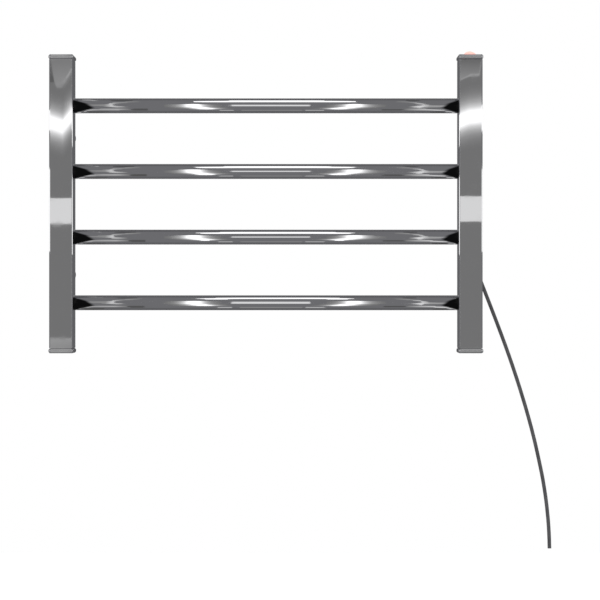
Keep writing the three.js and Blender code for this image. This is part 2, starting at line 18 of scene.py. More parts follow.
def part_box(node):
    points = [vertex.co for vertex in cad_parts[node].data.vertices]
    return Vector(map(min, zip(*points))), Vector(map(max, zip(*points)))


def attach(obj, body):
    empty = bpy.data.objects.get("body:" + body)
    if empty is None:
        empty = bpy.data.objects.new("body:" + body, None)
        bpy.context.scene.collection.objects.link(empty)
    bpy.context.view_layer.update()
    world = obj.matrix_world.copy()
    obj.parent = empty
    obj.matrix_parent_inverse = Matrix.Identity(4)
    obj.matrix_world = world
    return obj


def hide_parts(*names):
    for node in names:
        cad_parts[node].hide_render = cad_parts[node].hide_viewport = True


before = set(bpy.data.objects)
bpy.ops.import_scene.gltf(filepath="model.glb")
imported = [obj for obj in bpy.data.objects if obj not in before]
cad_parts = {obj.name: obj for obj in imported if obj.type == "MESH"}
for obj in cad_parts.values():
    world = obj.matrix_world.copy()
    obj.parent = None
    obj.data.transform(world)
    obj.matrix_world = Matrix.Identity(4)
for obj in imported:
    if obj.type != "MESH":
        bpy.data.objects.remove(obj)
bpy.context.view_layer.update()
MM = 0.001
FULL_TURN = 2 * math.pi
Point = tuple[float, float, float]
Colour = tuple[float, float, float, float]
Stops = tuple[tuple[float, float], ...]

log = logging.getLogger("towel_warmer")


class Axis(Enum):
    """The axis that a turned shape is turned about."""

    X = (1.0, 0.0, 0.0)
    Y = (0.0, 1.0, 0.0)
    Z = (0.0, 0.0, 1.0)

    @property
    def upright_turn(self) -> Matrix:
        """The rotation that lays a shape turned about +Z along this axis."""
        return Vector((0, 0, 1)).rotation_difference(Vector(self.value)).to_matrix().to_4x4()


class Body(Enum):
    """The bodies of the CAD frame that the pieces ride on."""

    RACK = "rack"
    BUTTON = "push_button"


# Shader nodes


class Signal:
    """A number that changes over a surface. Arithmetic on it adds Math nodes."""

    def __init__(self, bench: "NodeBench", socket: bpy.types.NodeSocket) -> None:
        """Wraps a socket of the bench's tree.

        Args:
            bench: the node bench that holds the tree.
            socket: the output socket that carries the number.
        """
        self.bench = bench
        self.socket = socket

    def __add__(self, other: "Signal | float") -> "Signal":
        """The sum of the two."""
        return self.bench.maths("ADD", self, other)

    def __radd__(self, other: float) -> "Signal":
        """The sum of the two."""
        return self.bench.maths("ADD", other, self)

    def __sub__(self, other: "Signal | float") -> "Signal":
        """This less the other."""
        return self.bench.maths("SUBTRACT", self, other)

    def __rsub__(self, other: float) -> "Signal":
        """The other less this."""
        return self.bench.maths("SUBTRACT", other, self)

    def __mul__(self, other: "Signal | float") -> "Signal":
        """The product of the two."""
        return self.bench.maths("MULTIPLY", self, other)

    def __rmul__(self, other: float) -> "Signal":
        """The product of the two."""
        return self.bench.maths("MULTIPLY", other, self)

    def __truediv__(self, other: "Signal | float") -> "Signal":
        """This divided by the other."""
        return self.bench.maths("DIVIDE", self, other)

    def __abs__(self) -> "Signal":
        """The size of the number without its sign."""
        return self.bench.maths("ABSOLUTE", self)

    def ramp(self, start: float, end: float) -> "Signal":
        """A smooth step of this number.

        Args:
            start: the value at which the step is 0.
            end: the value at which the step is 1.

        Returns:
            The step, between 0 and 1.
        """
        step = self.bench.node(
            "ShaderNodeMapRange",
            {"interpolation_type": "SMOOTHSTEP", "clamp": True},
            {"Value": self, "From Min": start, "From Max": end, "To Min": 0.0, "To Max": 1.0},
        )
        return self.bench.signal(step, "Result")


class NodeBench:
    """Builds the nodes of one material."""

    def __init__(self, tree: bpy.types.NodeTree) -> None:
        """Empties a node tree to build in.

        Args:
            tree: the node tree of a material or of the world.
        """
        self.tree = tree
        tree.nodes.clear()

    def node(
        self,
        kind: str,
        settings: dict[str, object] | None = None,
        sockets: dict[str | int, object] | None = None,
    ) -> bpy.types.Node:
        """Adds one node.

        Args:
            kind: the node's Blender type.
            settings: its own settings, set first; "stops" gives a colour ramp's stops.
            sockets: values, sockets or signals for its inputs.

        Returns:
            The new node.
        """
        made = self.tree.nodes.new(kind)
        for name, value in (settings or {}).items():
            if name == "stops":
                self._set_stops(made.color_ramp, value)
            else:
                setattr(made, name, value)
        for key, value in (sockets or {}).items():
            source = value.socket if isinstance(value, Signal) else value
            if isinstance(source, bpy.types.NodeSocket):
                self.tree.links.new(source, made.inputs[key])
            else:
                made.inputs[key].default_value = source
        return made

    @staticmethod
    def _set_stops(ramp: bpy.types.ColorRamp, stops: Sequence[tuple[float, Colour]]) -> None:
        """Gives a colour ramp its stops.

        Args:
            ramp: the ramp of a Color Ramp node.
            stops: the place and the colour of each stop, in order.
        """
        while len(ramp.elements) < len(stops):
            ramp.elements.new(1.0)
        for element, (place, colour) in zip(ramp.elements, stops):
            element.position = place
            element.color = colour

    def signal(self, node: bpy.types.Node, output: str | int = 0) -> Signal:
        """The signal that leaves one of a node's outputs."""
        return Signal(self, node.outputs[output])

    def maths(self, operation: str, *terms: Signal | float) -> Signal:
        """Adds one Math node on numbers or signals."""
        sockets = dict(enumerate(terms))
        return self.signal(self.node("ShaderNodeMath", {"operation": operation}, sockets))

    def place(self) -> bpy.types.NodeSocket:
        """The surface's own place, in Object coordinates."""
        return self.node("ShaderNodeTexCoord").outputs["Object"]

    def split(self, vector: bpy.types.NodeSocket) -> tuple[Signal, Signal, Signal]:
        """The three parts of a vector."""
        parts = self.node("ShaderNodeSeparateXYZ", sockets={"Vector": vector})
        return self.signal(parts, "X"), self.signal(parts, "Y"), self.signal(parts, "Z")

    def noise(
        self, place: bpy.types.NodeSocket, scale: float, detail: float = 2.0, rough: float = 0.5
    ) -> Signal:
        """Soft noise over the surface.

        Args:
            place: the coordinates to read.
            scale: how many cells there are in a metre.
            detail: how many finer layers are added.
            rough: how strong the finer layers are.

        Returns:
            The noise, about 0 to 1.
        """
        made = self.node(
            "ShaderNodeTexNoise",
            sockets={"Vector": place, "Scale": scale, "Detail": detail, "Roughness": rough},
        )
        return self.signal(made, "Fac")

    def stretched(self, place: bpy.types.NodeSocket, scale: Point) -> bpy.types.NodeSocket:
        """The coordinates scaled unevenly, for drawn or brushed marks."""
        made = self.node("ShaderNodeMapping", sockets={"Vector": place, "Scale": scale})
        return made.outputs["Vector"]

    def mix(
        self, amount: Signal, first: object, second: object, blend: str = "MIX"
    ) -> bpy.types.NodeSocket:
        """Mixes two colours.

        Args:
            amount: how much of the second colour there is.
            first: the colour at 0, as a value or a socket.
            second: the colour at 1, as a value or a socket.
            blend: the blend mode.

        Returns:
            The socket of the mixed colour.
        """
        made = self.tree.nodes.new("ShaderNodeMix")
        made.data_type = "RGBA"
        made.blend_type = blend
        for socket, value in zip((made.inputs[0], made.inputs[6], made.inputs[7]),
                                 (amount, first, second)):
            source = value.socket if isinstance(value, Signal) else value
            if isinstance(source, bpy.types.NodeSocket):
                self.tree.links.new(source, socket)
            else:
                socket.default_value = source
        return made.outputs[2]

    def bump(self, height: Signal, strength: float, distance: float) -> bpy.types.NodeSocket:
        """A bumped normal.

        Args:
            height: the height over the surface.
            strength: how strongly it shows.
            distance: the height of a value of 1, in metres.

        Returns:
            The normal's socket.
        """
        sockets = {"Height": height, "Strength": strength, "Distance": distance}
        return self.node("ShaderNodeBump", sockets=sockets).outputs["Normal"]

    def surface(self, sockets: dict[str | int, object]) -> None:
        """Ends a material in one Principled shader with these sockets."""
        shader = self.node("ShaderNodeBsdfPrincipled", sockets=sockets)
        self.node("ShaderNodeOutputMaterial", sockets={"Surface": shader.outputs["BSDF"]})


# Finishes

FINISHED: dict[str, bpy.types.Material] = {}


@dataclass(frozen=True)
class Finish:
    """A named finish that builds its own material."""

    name: str

    def material(self) -> bpy.types.Material:
        """The finish's material, made once."""
        if self.name not in FINISHED:
            made = bpy.data.materials.new(self.name)
            made.use_nodes = True
            self.nodes(NodeBench(made.node_tree))
            FINISHED[self.name] = made
        return FINISHED[self.name]

    def nodes(self, bench: NodeBench) -> None:
        """Builds the finish's nodes.

        Args:
            bench: the bench of the new material.
        """
        raise NotImplementedError


@dataclass(frozen=True)
class Chrome(Finish):
    """Bright chrome over polished steel, with soft waves and faint wiping marks."""

    tone: float = 0.93
    haze: float = 0.012
    marks: float = 0.018
    wave_height: float = 0.004 * MM
    wave_cells: float = 28.0
    wipe_stretch: Point = (60.0, 260.0, 60.0)

    def nodes(self, bench: NodeBench) -> None:
        """Builds the chrome.

        Args:
            bench: the bench of the new material.
        """
        place = bench.place()
        wave = bench.noise(place, self.wave_cells, 1.0)
        wiped = bench.noise(bench.stretched(place, self.wipe_stretch), 1.0, 3.0)
        film = bench.noise(place, 9.0, 3.0)
        rough = self.haze + wiped.ramp(0.45, 0.8) * self.marks + film.ramp(0.5, 0.8) * self.marks
        # depth() multiplies painted shade into the chrome's colour: dark wedges on the rungs, a darker
        # inner side on the caps, none on plain tubes
        shade = (0.985 + wiped * 0.015) * self.tone * self.depth(bench, place)
        colour = bench.node(
            "ShaderNodeCombineColor", sockets={"Red": shade, "Green": shade, "Blue": shade * 1.012}
        ).outputs["Color"]
        bench.surface({
            "Base Color": colour,
            "Metallic": 1.0,
            "Roughness": rough,
            "Normal": bench.bump(wave, 1.0, self.wave_height),
        })

    def depth(self, bench: NodeBench, place: bpy.types.NodeSocket) -> "Signal | float":
        """The factor of painted shade on the chrome's colour; plain tubes have none."""
        return 1.0


@dataclass(frozen=True)
class RungChrome(Chrome):
    """A rung's chrome, with dark wedges of painted shade in the corners at its welded ends."""

    height: float = 0.0
    end: float = 244.5 * MM
    # outline and strength of the painted shade in each corner at the rung's ends
    shadow_top: float = 7.0 * MM
    shadow_foot: float = -9.5 * MM
    shadow_tip: float = 20.5 * MM
    shadow_slopes: Point = (-3.6, -1.6, 4.4)
    shadow_edge: float = 3.5 * MM
    shadow_depth: float = 0.975

    def depth(self, bench: NodeBench, place: bpy.types.NodeSocket) -> Signal:
        """The painted shade: dark wedges in the chrome's colour in the corners between a rung and its
        uprights.

        Args:
            bench: the bench of the new material.
            place: the rung's Object coordinates.

        Returns:
            The factor of painted shade on the chrome's colour.
        """
        along, _, up = bench.split(place)
        inward = self.end - abs(along)
        up = up - self.height
        above, middle, below = self.shadow_slopes
        reach = bench.maths(
            "MINIMUM", (up - self.shadow_top) * above, (up - self.shadow_foot) * below
        )
        reach = bench.maths("MINIMUM", reach, self.shadow_tip + up * middle)
        reach = reach * (0.9 - 0.1 * bench.maths("SIGN", along))
        # painted shade: inside each wedge the chrome's colour drops to almost black
        return 1 - (reach - inward).ramp(-self.shadow_edge, self.shadow_edge) * self.shadow_depth


@dataclass(frozen=True)
class CapChrome(Chrome):
    """A cap's chrome, with painted shade on the side that faces the other upright."""

    inner: float = 243.4 * MM
    shade_width: float = 1.6 * MM
    shade_depth: float = 0.5

    def depth(self, bench: NodeBench, place: bpy.types.NodeSocket) -> Signal:
        """The painted shade on the cap's inner side.

        Args:
            bench: the bench of the new material.
            place: the cap's Object coordinates.

        Returns:
            How much of the light the chrome sends back.
        """
        along, _, _ = bench.split(place)
        outward = abs(along).ramp(self.inner, self.inner + self.shade_width)
        # painted shade: the inner side's colour is halved
        return 1 - (1 - outward) * self.shade_depth


@dataclass(frozen=True)
class PlatedMetal(Finish):
    """Plated small hardware: crystals in the plating, soft clouds and darker hollows."""

    light: Colour = (0.52, 0.53, 0.55, 1.0)
    dark: Colour = (0.33, 0.34, 0.36, 1.0)
    rough: float = 0.3
    crystal_cells: float = 900.0
    grain_height: float = 0.01 * MM

    def nodes(self, bench: NodeBench) -> None:
        """Builds the plating.

        Args:
            bench: the bench of the new material.
        """
        place = bench.place()
        crystals = bench.signal(
            bench.node("ShaderNodeTexVoronoi", sockets={"Vector": place, "Scale": self.crystal_cells}),
            "Distance",
        )
        cloud = bench.noise(place, self.crystal_cells / 6, 3.0)
        colour = bench.mix(cloud * 0.7 + crystals * 0.3, self.dark, self.light)
        bench.surface({
            "Base Color": colour,
            "Metallic": 1.0,
            "Roughness": self.rough + cloud * 0.18,
            "Normal": bench.bump(crystals + cloud, 0.35, self.grain_height),
        })


@dataclass(frozen=True)
class Moulded(Finish):
    """Moulded plastic or rubber: fine grain, small specks and a slightly uneven gloss."""

    colour: Colour = (0.03, 0.03, 0.032, 1.0)
    fleck: Colour = (0.05, 0.05, 0.053, 1.0)
    rough: float = 0.5
    grain_cells: float = 2600.0
    grain_height: float = 0.02 * MM
    sheen: float = 0.0

    def nodes(self, bench: NodeBench) -> None:
        """Builds the moulding.

        Args:
            bench: the bench of the new material.
        """
        place = bench.place()
        grain = bench.noise(place, self.grain_cells, 2.0, 0.6)
        cloud = bench.noise(place, self.grain_cells / 24, 3.0)
        bench.surface({
            "Base Color": bench.mix(cloud.ramp(0.3, 0.75), self.colour, self.fleck),
            "Roughness": self.rough + (grain - 0.5) * 0.16 + (cloud - 0.5) * 0.1,
            "Sheen Weight": self.sheen,
            "Normal": bench.bump(grain, 0.4, self.grain_height),
        })


@dataclass(frozen=True)
class Braided(Finish):
    """A woven or braided sleeve: two sets of threads that cross along the piece."""

    thread: Colour = (0.72, 0.69, 0.61, 1.0)
    gap: Colour = (0.42, 0.39, 0.33, 1.0)
    rough: float = 0.62
    thread_cells: float = 1100.0
    thread_height: float = 0.08 * MM

    def nodes(self, bench: NodeBench) -> None:
        """Builds the weave.

        Args:
            bench: the bench of the new material.
        """
        place = bench.place()
        across, deep, along = bench.split(place)
        girth = across + deep
        one = bench.maths("SINE", (along + girth) * self.thread_cells * 2)
        other = bench.maths("SINE", (along - girth) * self.thread_cells * 2)
        weave = bench.maths("MAXIMUM", one, other)
        fray = bench.noise(place, self.thread_cells, 2.0)
        height = weave * 0.5 + fray * 0.4
        bench.surface({
            "Base Color": bench.mix(height.ramp(0.0, 0.6), self.gap, self.thread),
            "Roughness": self.rough + fray * 0.12,
            "Normal": bench.bump(height, 0.6, self.thread_height),
        })


@dataclass(frozen=True)
class StripedCover(Finish):
    """A core's insulation with a second colour in a spiral stripe."""

    base: Colour = (0.12, 0.32, 0.05, 1.0)
    stripe: Colour = (0.78, 0.62, 0.04, 1.0)
    rough: float = 0.42
    stripe_cells: float = 1500.0

    def nodes(self, bench: NodeBench) -> None:
        """Builds the striped cover.

        Args:
            bench: the bench of the new material.
        """
        place = bench.place()
        across, deep, along = bench.split(place)
        turns = bench.maths("SINE", (across + deep * 0.6 + along * 0.5) * self.stripe_cells * 2)
        grain = bench.noise(place, 1800.0, 2.0)
        bench.surface({
            "Base Color": bench.mix(turns.ramp(-0.1, 0.1), self.base, self.stripe),
            "Roughness": self.rough + grain * 0.12,
            "Normal": bench.bump(grain, 0.3, 0.015 * MM),
        })


@dataclass(frozen=True)
class GlowingLens(Finish):
    """The button's tinted dome, lit from below: pale in the middle and pinker at its rim."""

    middle: Colour = (1.0, 0.56, 0.49, 1.0)
    rim: Colour = (1.0, 0.43, 0.375, 1.0)
    axis: Point = (0.0, 0.0, 0.0)
    inner: float = 4.0 * MM
    outer: float = 8.8 * MM
    glow: float = 0.5

    def nodes(self, bench: NodeBench) -> None:
        """Builds the lens.

        Args:
            bench: the bench of the new material.
        """
        place = bench.place()
        offset = bench.node(
            "ShaderNodeVectorMath", {"operation": "SUBTRACT"}, {0: place, 1: self.axis}
        ).outputs["Vector"]
        across, deep, _ = bench.split(offset)
        radius = bench.maths("SQRT", across * across + deep * deep)
        swirl = bench.noise(place, 260.0, 3.0)
        spread = (radius + (swirl - 0.5) * 0.0008).ramp(self.inner, self.outer)
        colour = bench.mix(spread, self.middle, self.rim)
        bench.surface({
            "Base Color": colour,
            "Emission Color": colour,
            "Emission Strength": self.glow,
            "Roughness": 0.16 + swirl * 0.06,
            "Alpha": 0.94 + swirl * 0.04,
            "Normal": bench.bump(swirl, 0.15, 0.02 * MM),
        })


@dataclass(frozen=True)
class CutCord(Finish):
    """The cord's rubber sheath, with its three cores at the cut end."""

    sheath: Colour = (0.062, 0.062, 0.066, 1.0)
    worn: Colour = (0.1, 0.1, 0.105, 1.0)
    filler: Colour = (0.5, 0.48, 0.43, 1.0)
    copper: Colour = (0.75, 0.36, 0.2, 1.0)
    covers: tuple[Colour, ...] = (
        (0.16, 0.07, 0.03, 1.0),
        (0.04, 0.12, 0.42, 1.0),
        (0.2, 0.42, 0.06, 1.0),
    )
    end: Point = (0.0, 0.0, 0.0)
    end_depth: float = 0.12 * MM
    filler_radius: float = 1.75 * MM
    core_circle: float = 0.95 * MM
    cover_radius: float = 0.72 * MM
    wire_radius: float = 0.4 * MM
    edge: float = 0.06 * MM

    def nodes(self, bench: NodeBench) -> None:
        """Builds the sheath and the cut face.

        Args:
            bench: the bench of the new material.
        """
        place = bench.place()
        grain = bench.noise(place, 2400.0, 2.0, 0.6)
        cloud = bench.noise(place, 70.0, 3.0)
        rubbed = bench.noise(bench.stretched(place, (300.0, 300.0, 40.0)), 1.0, 3.0)
        sheath = bench.mix((cloud * 0.5 + rubbed * 0.5).ramp(0.35, 0.75), self.sheath, self.worn)
        offset = bench.node(
            "ShaderNodeVectorMath", {"operation": "SUBTRACT"}, {0: place, 1: self.end}
        ).outputs["Vector"]
        across, deep, up = bench.split(offset)
        radius = bench.maths("SQRT", across * across + deep * deep)
        at_face = 1 - up.ramp(self.end_depth, 2 * self.end_depth)
        inside = 1 - radius.ramp(self.filler_radius, self.filler_radius + self.edge)
        colour = bench.mix(at_face * inside, sheath, self.filler)
        for index, cover in enumerate(self.covers):
            turn = FULL_TURN * index / len(self.covers)
            away_x = across - self.core_circle * math.cos(turn)
            away_y = deep - self.core_circle * math.sin(turn)
            away = bench.maths("SQRT", away_x * away_x + away_y * away_y)
            colour = bench.mix(
                at_face * (1 - away.ramp(self.cover_radius, self.cover_radius + self.edge)),
                colour, cover)
            colour = bench.mix(
                at_face * (1 - away.ramp(self.wire_radius, self.wire_radius + self.edge)),
                colour, self.copper)
        bench.surface({
            "Base Color": colour,
            "Roughness": 0.5 + (grain - 0.5) * 0.2 + cloud * 0.08,
            "Normal": bench.bump(grain + rubbed * 0.5, 0.35, 0.025 * MM),
        })


# Mesh making


def new_bmesh() -> bmesh.types.BMesh:
    """An empty bmesh."""
    return bmesh.new()


def rounded_face(
    bm: bmesh.types.BMesh, width: float, depth: float, corner: float, segments: int
) -> bmesh.types.BMFace:
    """Makes a flat rectangle with round corners in z = 0, round the origin.

    Args:
        bm: the bmesh to add to.
        width: the size along X.
        depth: the size along Y.
        corner: the corners' radius.
        segments: how many faces round each corner.

    Returns:
        The face.
    """
    corners = [(1, 1), (-1, 1), (-1, -1), (1, -1)]
    verts = [bm.verts.new((x * width / 2, y * depth / 2, 0.0)) for x, y in corners]
    bm.faces.new(verts)
    bmesh.ops.bevel(
        bm, geom=verts, offset=corner, offset_type="OFFSET", segments=segments, profile=0.5,
        affect="VERTICES", material=-1,
    )
    bm.faces.ensure_lookup_table()
    return bm.faces[0]


def extrude_up(
    bm: bmesh.types.BMesh, faces: Iterable[bmesh.types.BMFace], rise: float
) -> list[bmesh.types.BMVert]:
    """Extrudes faces along Z and returns the new vertices."""
    made = bmesh.ops.extrude_face_region(bm, geom=list(faces))["geom"]
    verts = [item for item in made if isinstance(item, bmesh.types.BMVert)]
    bmesh.ops.translate(bm, verts=verts, vec=(0.0, 0.0, rise))
    return verts


def turned(profile: Sequence[tuple[float, float]], steps: int, closed: bool) -> bmesh.types.BMesh:
    """Turns a profile about Z.

    Args:
        profile: radius and height of each point of the profile.
        steps: how many faces go round.
        closed: whether the profile joins back to its first point.

    Returns:
        The turned bmesh, closed at its poles.
    """
    bm = new_bmesh()
    verts = [bm.verts.new((radius, 0.0, height)) for radius, height in profile]
    pairs = list(zip(verts, verts[1:]))
    if closed:
        pairs.append((verts[-1], verts[0]))
    edges = [bm.edges.new(pair) for pair in pairs]
    bmesh.ops.spin(
        bm, geom=verts + edges, cent=(0, 0, 0), axis=(0, 0, 1), angle=FULL_TURN, steps=steps,
        use_merge=True, use_duplicate=False,
    )
    bmesh.ops.remove_doubles(bm, verts=bm.verts[:], dist=0.001 * MM)
    return bm


def arc(
    centre: tuple[float, float], radius: float, start: float, end: float, steps: int
) -> list[tuple[float, float]]:
    """Points of an arc in a profile.

    Args:
        centre: the arc's centre, as radius and height.
        radius: the arc's own radius.
        start: the first angle, in degrees.
        end: the last angle, in degrees.
        steps: how many straight runs it has.

    Returns:
        The points, both ends included.
    """
    turns = [math.radians(start + (end - start) * index / steps) for index in range(steps + 1)]
    return [(centre[0] + radius * math.cos(t), centre[1] + radius * math.sin(t)) for t in turns]


def laid(bm: bmesh.types.BMesh, axis: Axis, centre: Point) -> bmesh.types.BMesh:
    """Lays a turned shape along an axis and moves it to its centre."""
    bmesh.ops.transform(bm, matrix=Matrix.Translation(centre) @ axis.upright_turn, verts=bm.verts[:])
    return bm


def swept_tube(path: Sequence[Vector], radius: float, sides: int) -> bmesh.types.BMesh:
    """Sweeps a circle along a path and closes both ends.

    Args:
        path: the points of the centreline.
        radius: the tube's radius.
        sides: how many faces go round.

    Returns:
        The tube's bmesh.
    """
    bm = new_bmesh()
    heading = (path[1] - path[0]).normalized()
    frame = Vector((0, 0, 1)).rotation_difference(heading)
    ring = bmesh.ops.create_circle(
        bm, cap_ends=False, segments=sides, radius=radius,
        matrix=Matrix.Translation(path[0]) @ frame.to_matrix().to_4x4(),
    )["verts"]
    first = [edge for edge in bm.edges if all(vert in ring for vert in edge.verts)]
    edges = first
    for index in range(1, len(path)):
        last = index == len(path) - 1
        ahead = path[index] if last else path[index + 1]
        new_heading = (ahead - path[index - 1]).normalized()
        made = bmesh.ops.extrude_edge_only(bm, edges=edges)["geom"]
        verts = [item for item in made if isinstance(item, bmesh.types.BMVert)]
        edges = [item for item in made if isinstance(item, bmesh.types.BMEdge)]
        turn = heading.rotation_difference(new_heading).to_matrix().to_4x4()
        move = Matrix.Translation(path[index]) @ turn @ Matrix.Translation(-path[index - 1])
        bmesh.ops.transform(bm, matrix=move, verts=verts)
        heading = new_heading
    bmesh.ops.holes_fill(bm, edges=first + edges, sides=sides)
    return bm


def cut_by(obj: bpy.types.Object, cutters: Sequence[bmesh.types.BMesh]) -> None:
    """Cuts shapes out of a piece and keeps the result as its mesh.

    Args:
        obj: the piece, whose mesh is replaced.
        cutters: the shapes to take away; each is freed.
    """
    for cutter in cutters:
        bmesh.ops.recalc_face_normals(cutter, faces=cutter.faces[:])
        tool_mesh = bpy.data.meshes.new("cutter")
        cutter.to_mesh(tool_mesh)
        cutter.free()
        tool = bpy.data.objects.new("cutter", tool_mesh)
        bpy.context.scene.collection.objects.link(tool)
        cut = obj.modifiers.new("cut", "BOOLEAN")
        cut.operation, cut.solver, cut.object = "DIFFERENCE", "EXACT", tool
        whole = obj.evaluated_get(bpy.context.evaluated_depsgraph_get())
        made = bpy.data.meshes.new_from_object(whole)
        obj.modifiers.clear()
        old, obj.data = obj.data, made
        made.name = obj.name
        bpy.data.meshes.remove(old)
        bpy.data.objects.remove(tool)
        bpy.data.meshes.remove(tool_mesh)


def add_piece(
    name: str,
    bm: bmesh.types.BMesh,
    body: Body,
    finish: Finish,
    stands_for: Sequence[str] = (),
    cutters: Sequence[bmesh.types.BMesh] = (),
    sharp_degrees: float = 40.0,
) -> bpy.types.Object:
    """Turns a bmesh into a finished piece that rides on its body.

    Args:
        name: the piece's name.
        bm: its shape, placed in the frame; it is freed.
        body: the CAD body that it rides on.
        finish: its finish.
        stands_for: the CAD nodes that it replaces.
        cutters: shapes that are cut out of it.
        sharp_degrees: edges sharper than this stay crisp.

    Returns:
        The piece's object.
    """
    bmesh.ops.recalc_face_normals(bm, faces=bm.faces[:])
    mesh = bpy.data.meshes.new(name)
    bm.to_mesh(mesh)
    bm.free()
    obj = bpy.data.objects.new(name, mesh)
    bpy.context.scene.collection.objects.link(obj)
    if cutters:
        cut_by(obj, cutters)
    mesh = obj.data
    mesh.materials.clear()
    mesh.materials.append(finish.material())
    mesh.polygons.foreach_set("use_smooth", [True] * len(mesh.polygons))
    mesh.set_sharp_from_angle(angle=math.radians(sharp_degrees))
    even = obj.modifiers.new("even_faces", "WEIGHTED_NORMAL")
    even.keep_sharp = True
    even.weight = 100
    even.thresh = 0.0
    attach(obj, body.value)
    if stands_for:
        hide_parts(*stands_for)
    log.info("made %s with %d faces", name, len(mesh.polygons))
    return obj


def middle_of(node: str) -> Vector:
    """The centre of a CAD node's box."""
    low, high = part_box(node)
    return (Vector(low) + Vector(high)) / 2


def dress(finish: Finish, *nodes: str) -> None:
    """Gives CAD nodes that keep their own shape a finish.

    Args:
        finish: the finish.
        nodes: the names of the CAD nodes.
    """
    for node in nodes:
        for material_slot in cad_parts[node].material_slots:
            material_slot.material = finish.material()
        log.info("dressed %s in %s", node, finish.name)


# Sub-assemblies

SIDES = ("left", "right")
LEVELS = ("upper", "lower")
PLACES = tuple(f"{level}_{side}" for level in LEVELS for side in SIDES)


@dataclass
class SupplyCord:
    """The thin supply cord that hangs from the gland and ends in a bare cut."""

    diameter: float = 4.8 * MM
    sides: int = 20
    steps_each: int = 8
    route: tuple[Point, ...] = (
        (0.2595, -0.0417, -0.0490),
        (0.2595, -0.0365, -0.0490),
        (0.2595, -0.0315, -0.0491),
        (0.2605, -0.0220, -0.0516),
        (0.2632, -0.0149, -0.0583),
        (0.2668, -0.0122, -0.0676),
        (0.2749, -0.0120, -0.0881),
        (0.2828, -0.0120, -0.1082),
        (0.2889, -0.0120, -0.1239),
        (0.2980, -0.0120, -0.1475),
        (0.3096, -0.0120, -0.1785),
        (0.3206, -0.0120, -0.2098),
        (0.3307, -0.0120, -0.2410),
        (0.3400, -0.0120, -0.2723),
        (0.3482, -0.0120, -0.3035),
        (0.3552, -0.0120, -0.3348),
        (0.3584, -0.0120, -0.3504),
        (0.3611, -0.0120, -0.3660),
        (0.3634, -0.0120, -0.3816),
        (0.3652, -0.0120, -0.3973),
        (0.3666, -0.0120, -0.4129),
        (0.3675, -0.0120, -0.4285),
        (0.3680, -0.0120, -0.4452),
    )

    def centreline(self) -> list[Vector]:
        """The route as one smooth curve through its points.

        Returns:
            The curve's points, close together.
        """
        points = [Vector(point) for point in self.route]
        ends = [2 * points[0] - points[1], *points, 2 * points[-1] - points[-2]]
        line = []
        for before, start, end, after in zip(ends, ends[1:], ends[2:], ends[3:]):
            for step in range(self.steps_each):
                line.append(self._between(before, start, end, after, step / self.steps_each))
        return [*line, points[-1]]

    @staticmethod
    def _between(
        before: Vector, start: Vector, end: Vector, after: Vector, share: float
    ) -> Vector:
        """A point of the centripetal curve between two route points.

        Args:
            before: the route point before the span.
            start: the span's first point.
            end: the span's last point.
            after: the route point after the span.
            share: how far along the span the point lies.

        Returns:
            The point.
        """
        knots = [0.0]
        for one, other in ((before, start), (start, end), (end, after)):
            knots.append(knots[-1] + math.sqrt((other - one).length))
        here = knots[1] + share * (knots[2] - knots[1])

        def blend(first: Vector, second: Vector, low: int, high: int) -> Vector:
            """The point between two points at this knot value."""
            part = (here - knots[low]) / (knots[high] - knots[low])
            return first.lerp(second, part)

        early = blend(before, start, 0, 1)
        middle = blend(start, end, 1, 2)
        late = blend(end, after, 2, 3)
        return blend(blend(early, middle, 0, 2), blend(middle, late, 1, 3), 1, 2)

    def build(self) -> None:
        """Makes the cord, dresses it and logs its length."""
        line = self.centreline()
        length = sum((b - a).length for a, b in zip(line, line[1:]))
        finish = CutCord("supply_cord_rubber", end=tuple(line[-1]))
        tube = swept_tube(line, self.diameter / 2, self.sides)
        cord = add_piece(
            "supply_cord_hanging", tube, Body.RACK, finish, ["supply_cord"],
            sharp_degrees=60.0,
        )
        log.info("the cord is %.3f m long", length)


@dataclass
class Uprights:
    """The two upright tubes of rectangular section."""

    wall: float = 1.5 * MM
    corner: float = 1.4 * MM
    corner_steps: int = 8
    finish: Finish = Chrome("mirror_chrome_tube")

    def build(self) -> None:
        """Makes both tubes."""
        for side in SIDES:
            node = f"upright_{side}"
            low, high = (Vector(corner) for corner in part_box(node))
            size = high - low
            bm = new_bmesh()
            face = rounded_face(bm, size.x, size.y, self.corner, self.corner_steps)
            bmesh.ops.inset_region(
                bm, faces=[face], thickness=self.wall, use_even_offset=True, use_boundary=True
            )
            bmesh.ops.delete(bm, geom=[face], context="FACES_ONLY")
            extrude_up(bm, bm.faces[:], size.z)
            middle = (low + high) / 2
            bmesh.ops.translate(bm, verts=bm.verts[:], vec=(middle.x, middle.y, low.z))
            add_piece(f"{node}_tube", bm, Body.RACK, self.finish, [node])


@dataclass
class Rungs:
    """The four straight rungs, each welded between the uprights."""

    wall: float = 1.2 * MM
    weld: float = 0.8 * MM
    weld_steps: int = 5
    sides: int = 96
    count: int = 4

    def build(self) -> None:
        """Makes the rungs with a small weld fillet at each end."""
        inner_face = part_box("upright_right")[0][0]
        for index in range(self.count):
            node = f"rung_{index + 1}"
            low, high = (Vector(corner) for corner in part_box(node))
            outer = (high.z - low.z) / 2
            seat = inner_face
            half = arc((outer + self.weld, seat - self.weld), self.weld, 180, 90, self.weld_steps)
            mirrored = [(radius, -height) for radius, height in reversed(half)]
            profile = [
                (outer - self.wall, -high.x), (outer, -high.x), (outer, -seat - self.weld / 4),
                *mirrored, *half,
                (outer, seat + self.weld / 4), (outer, high.x), (outer - self.wall, high.x),
            ]
            centre = middle_of(node)
            bm = laid(turned(profile, self.sides, closed=True), Axis.X, centre)
            finish = RungChrome(
                f"mirror_chrome_{node}", wave_cells=14.0, height=centre.z, end=seat
            )
            add_piece(f"{node}_tube", bm, Body.RACK, finish, [node])


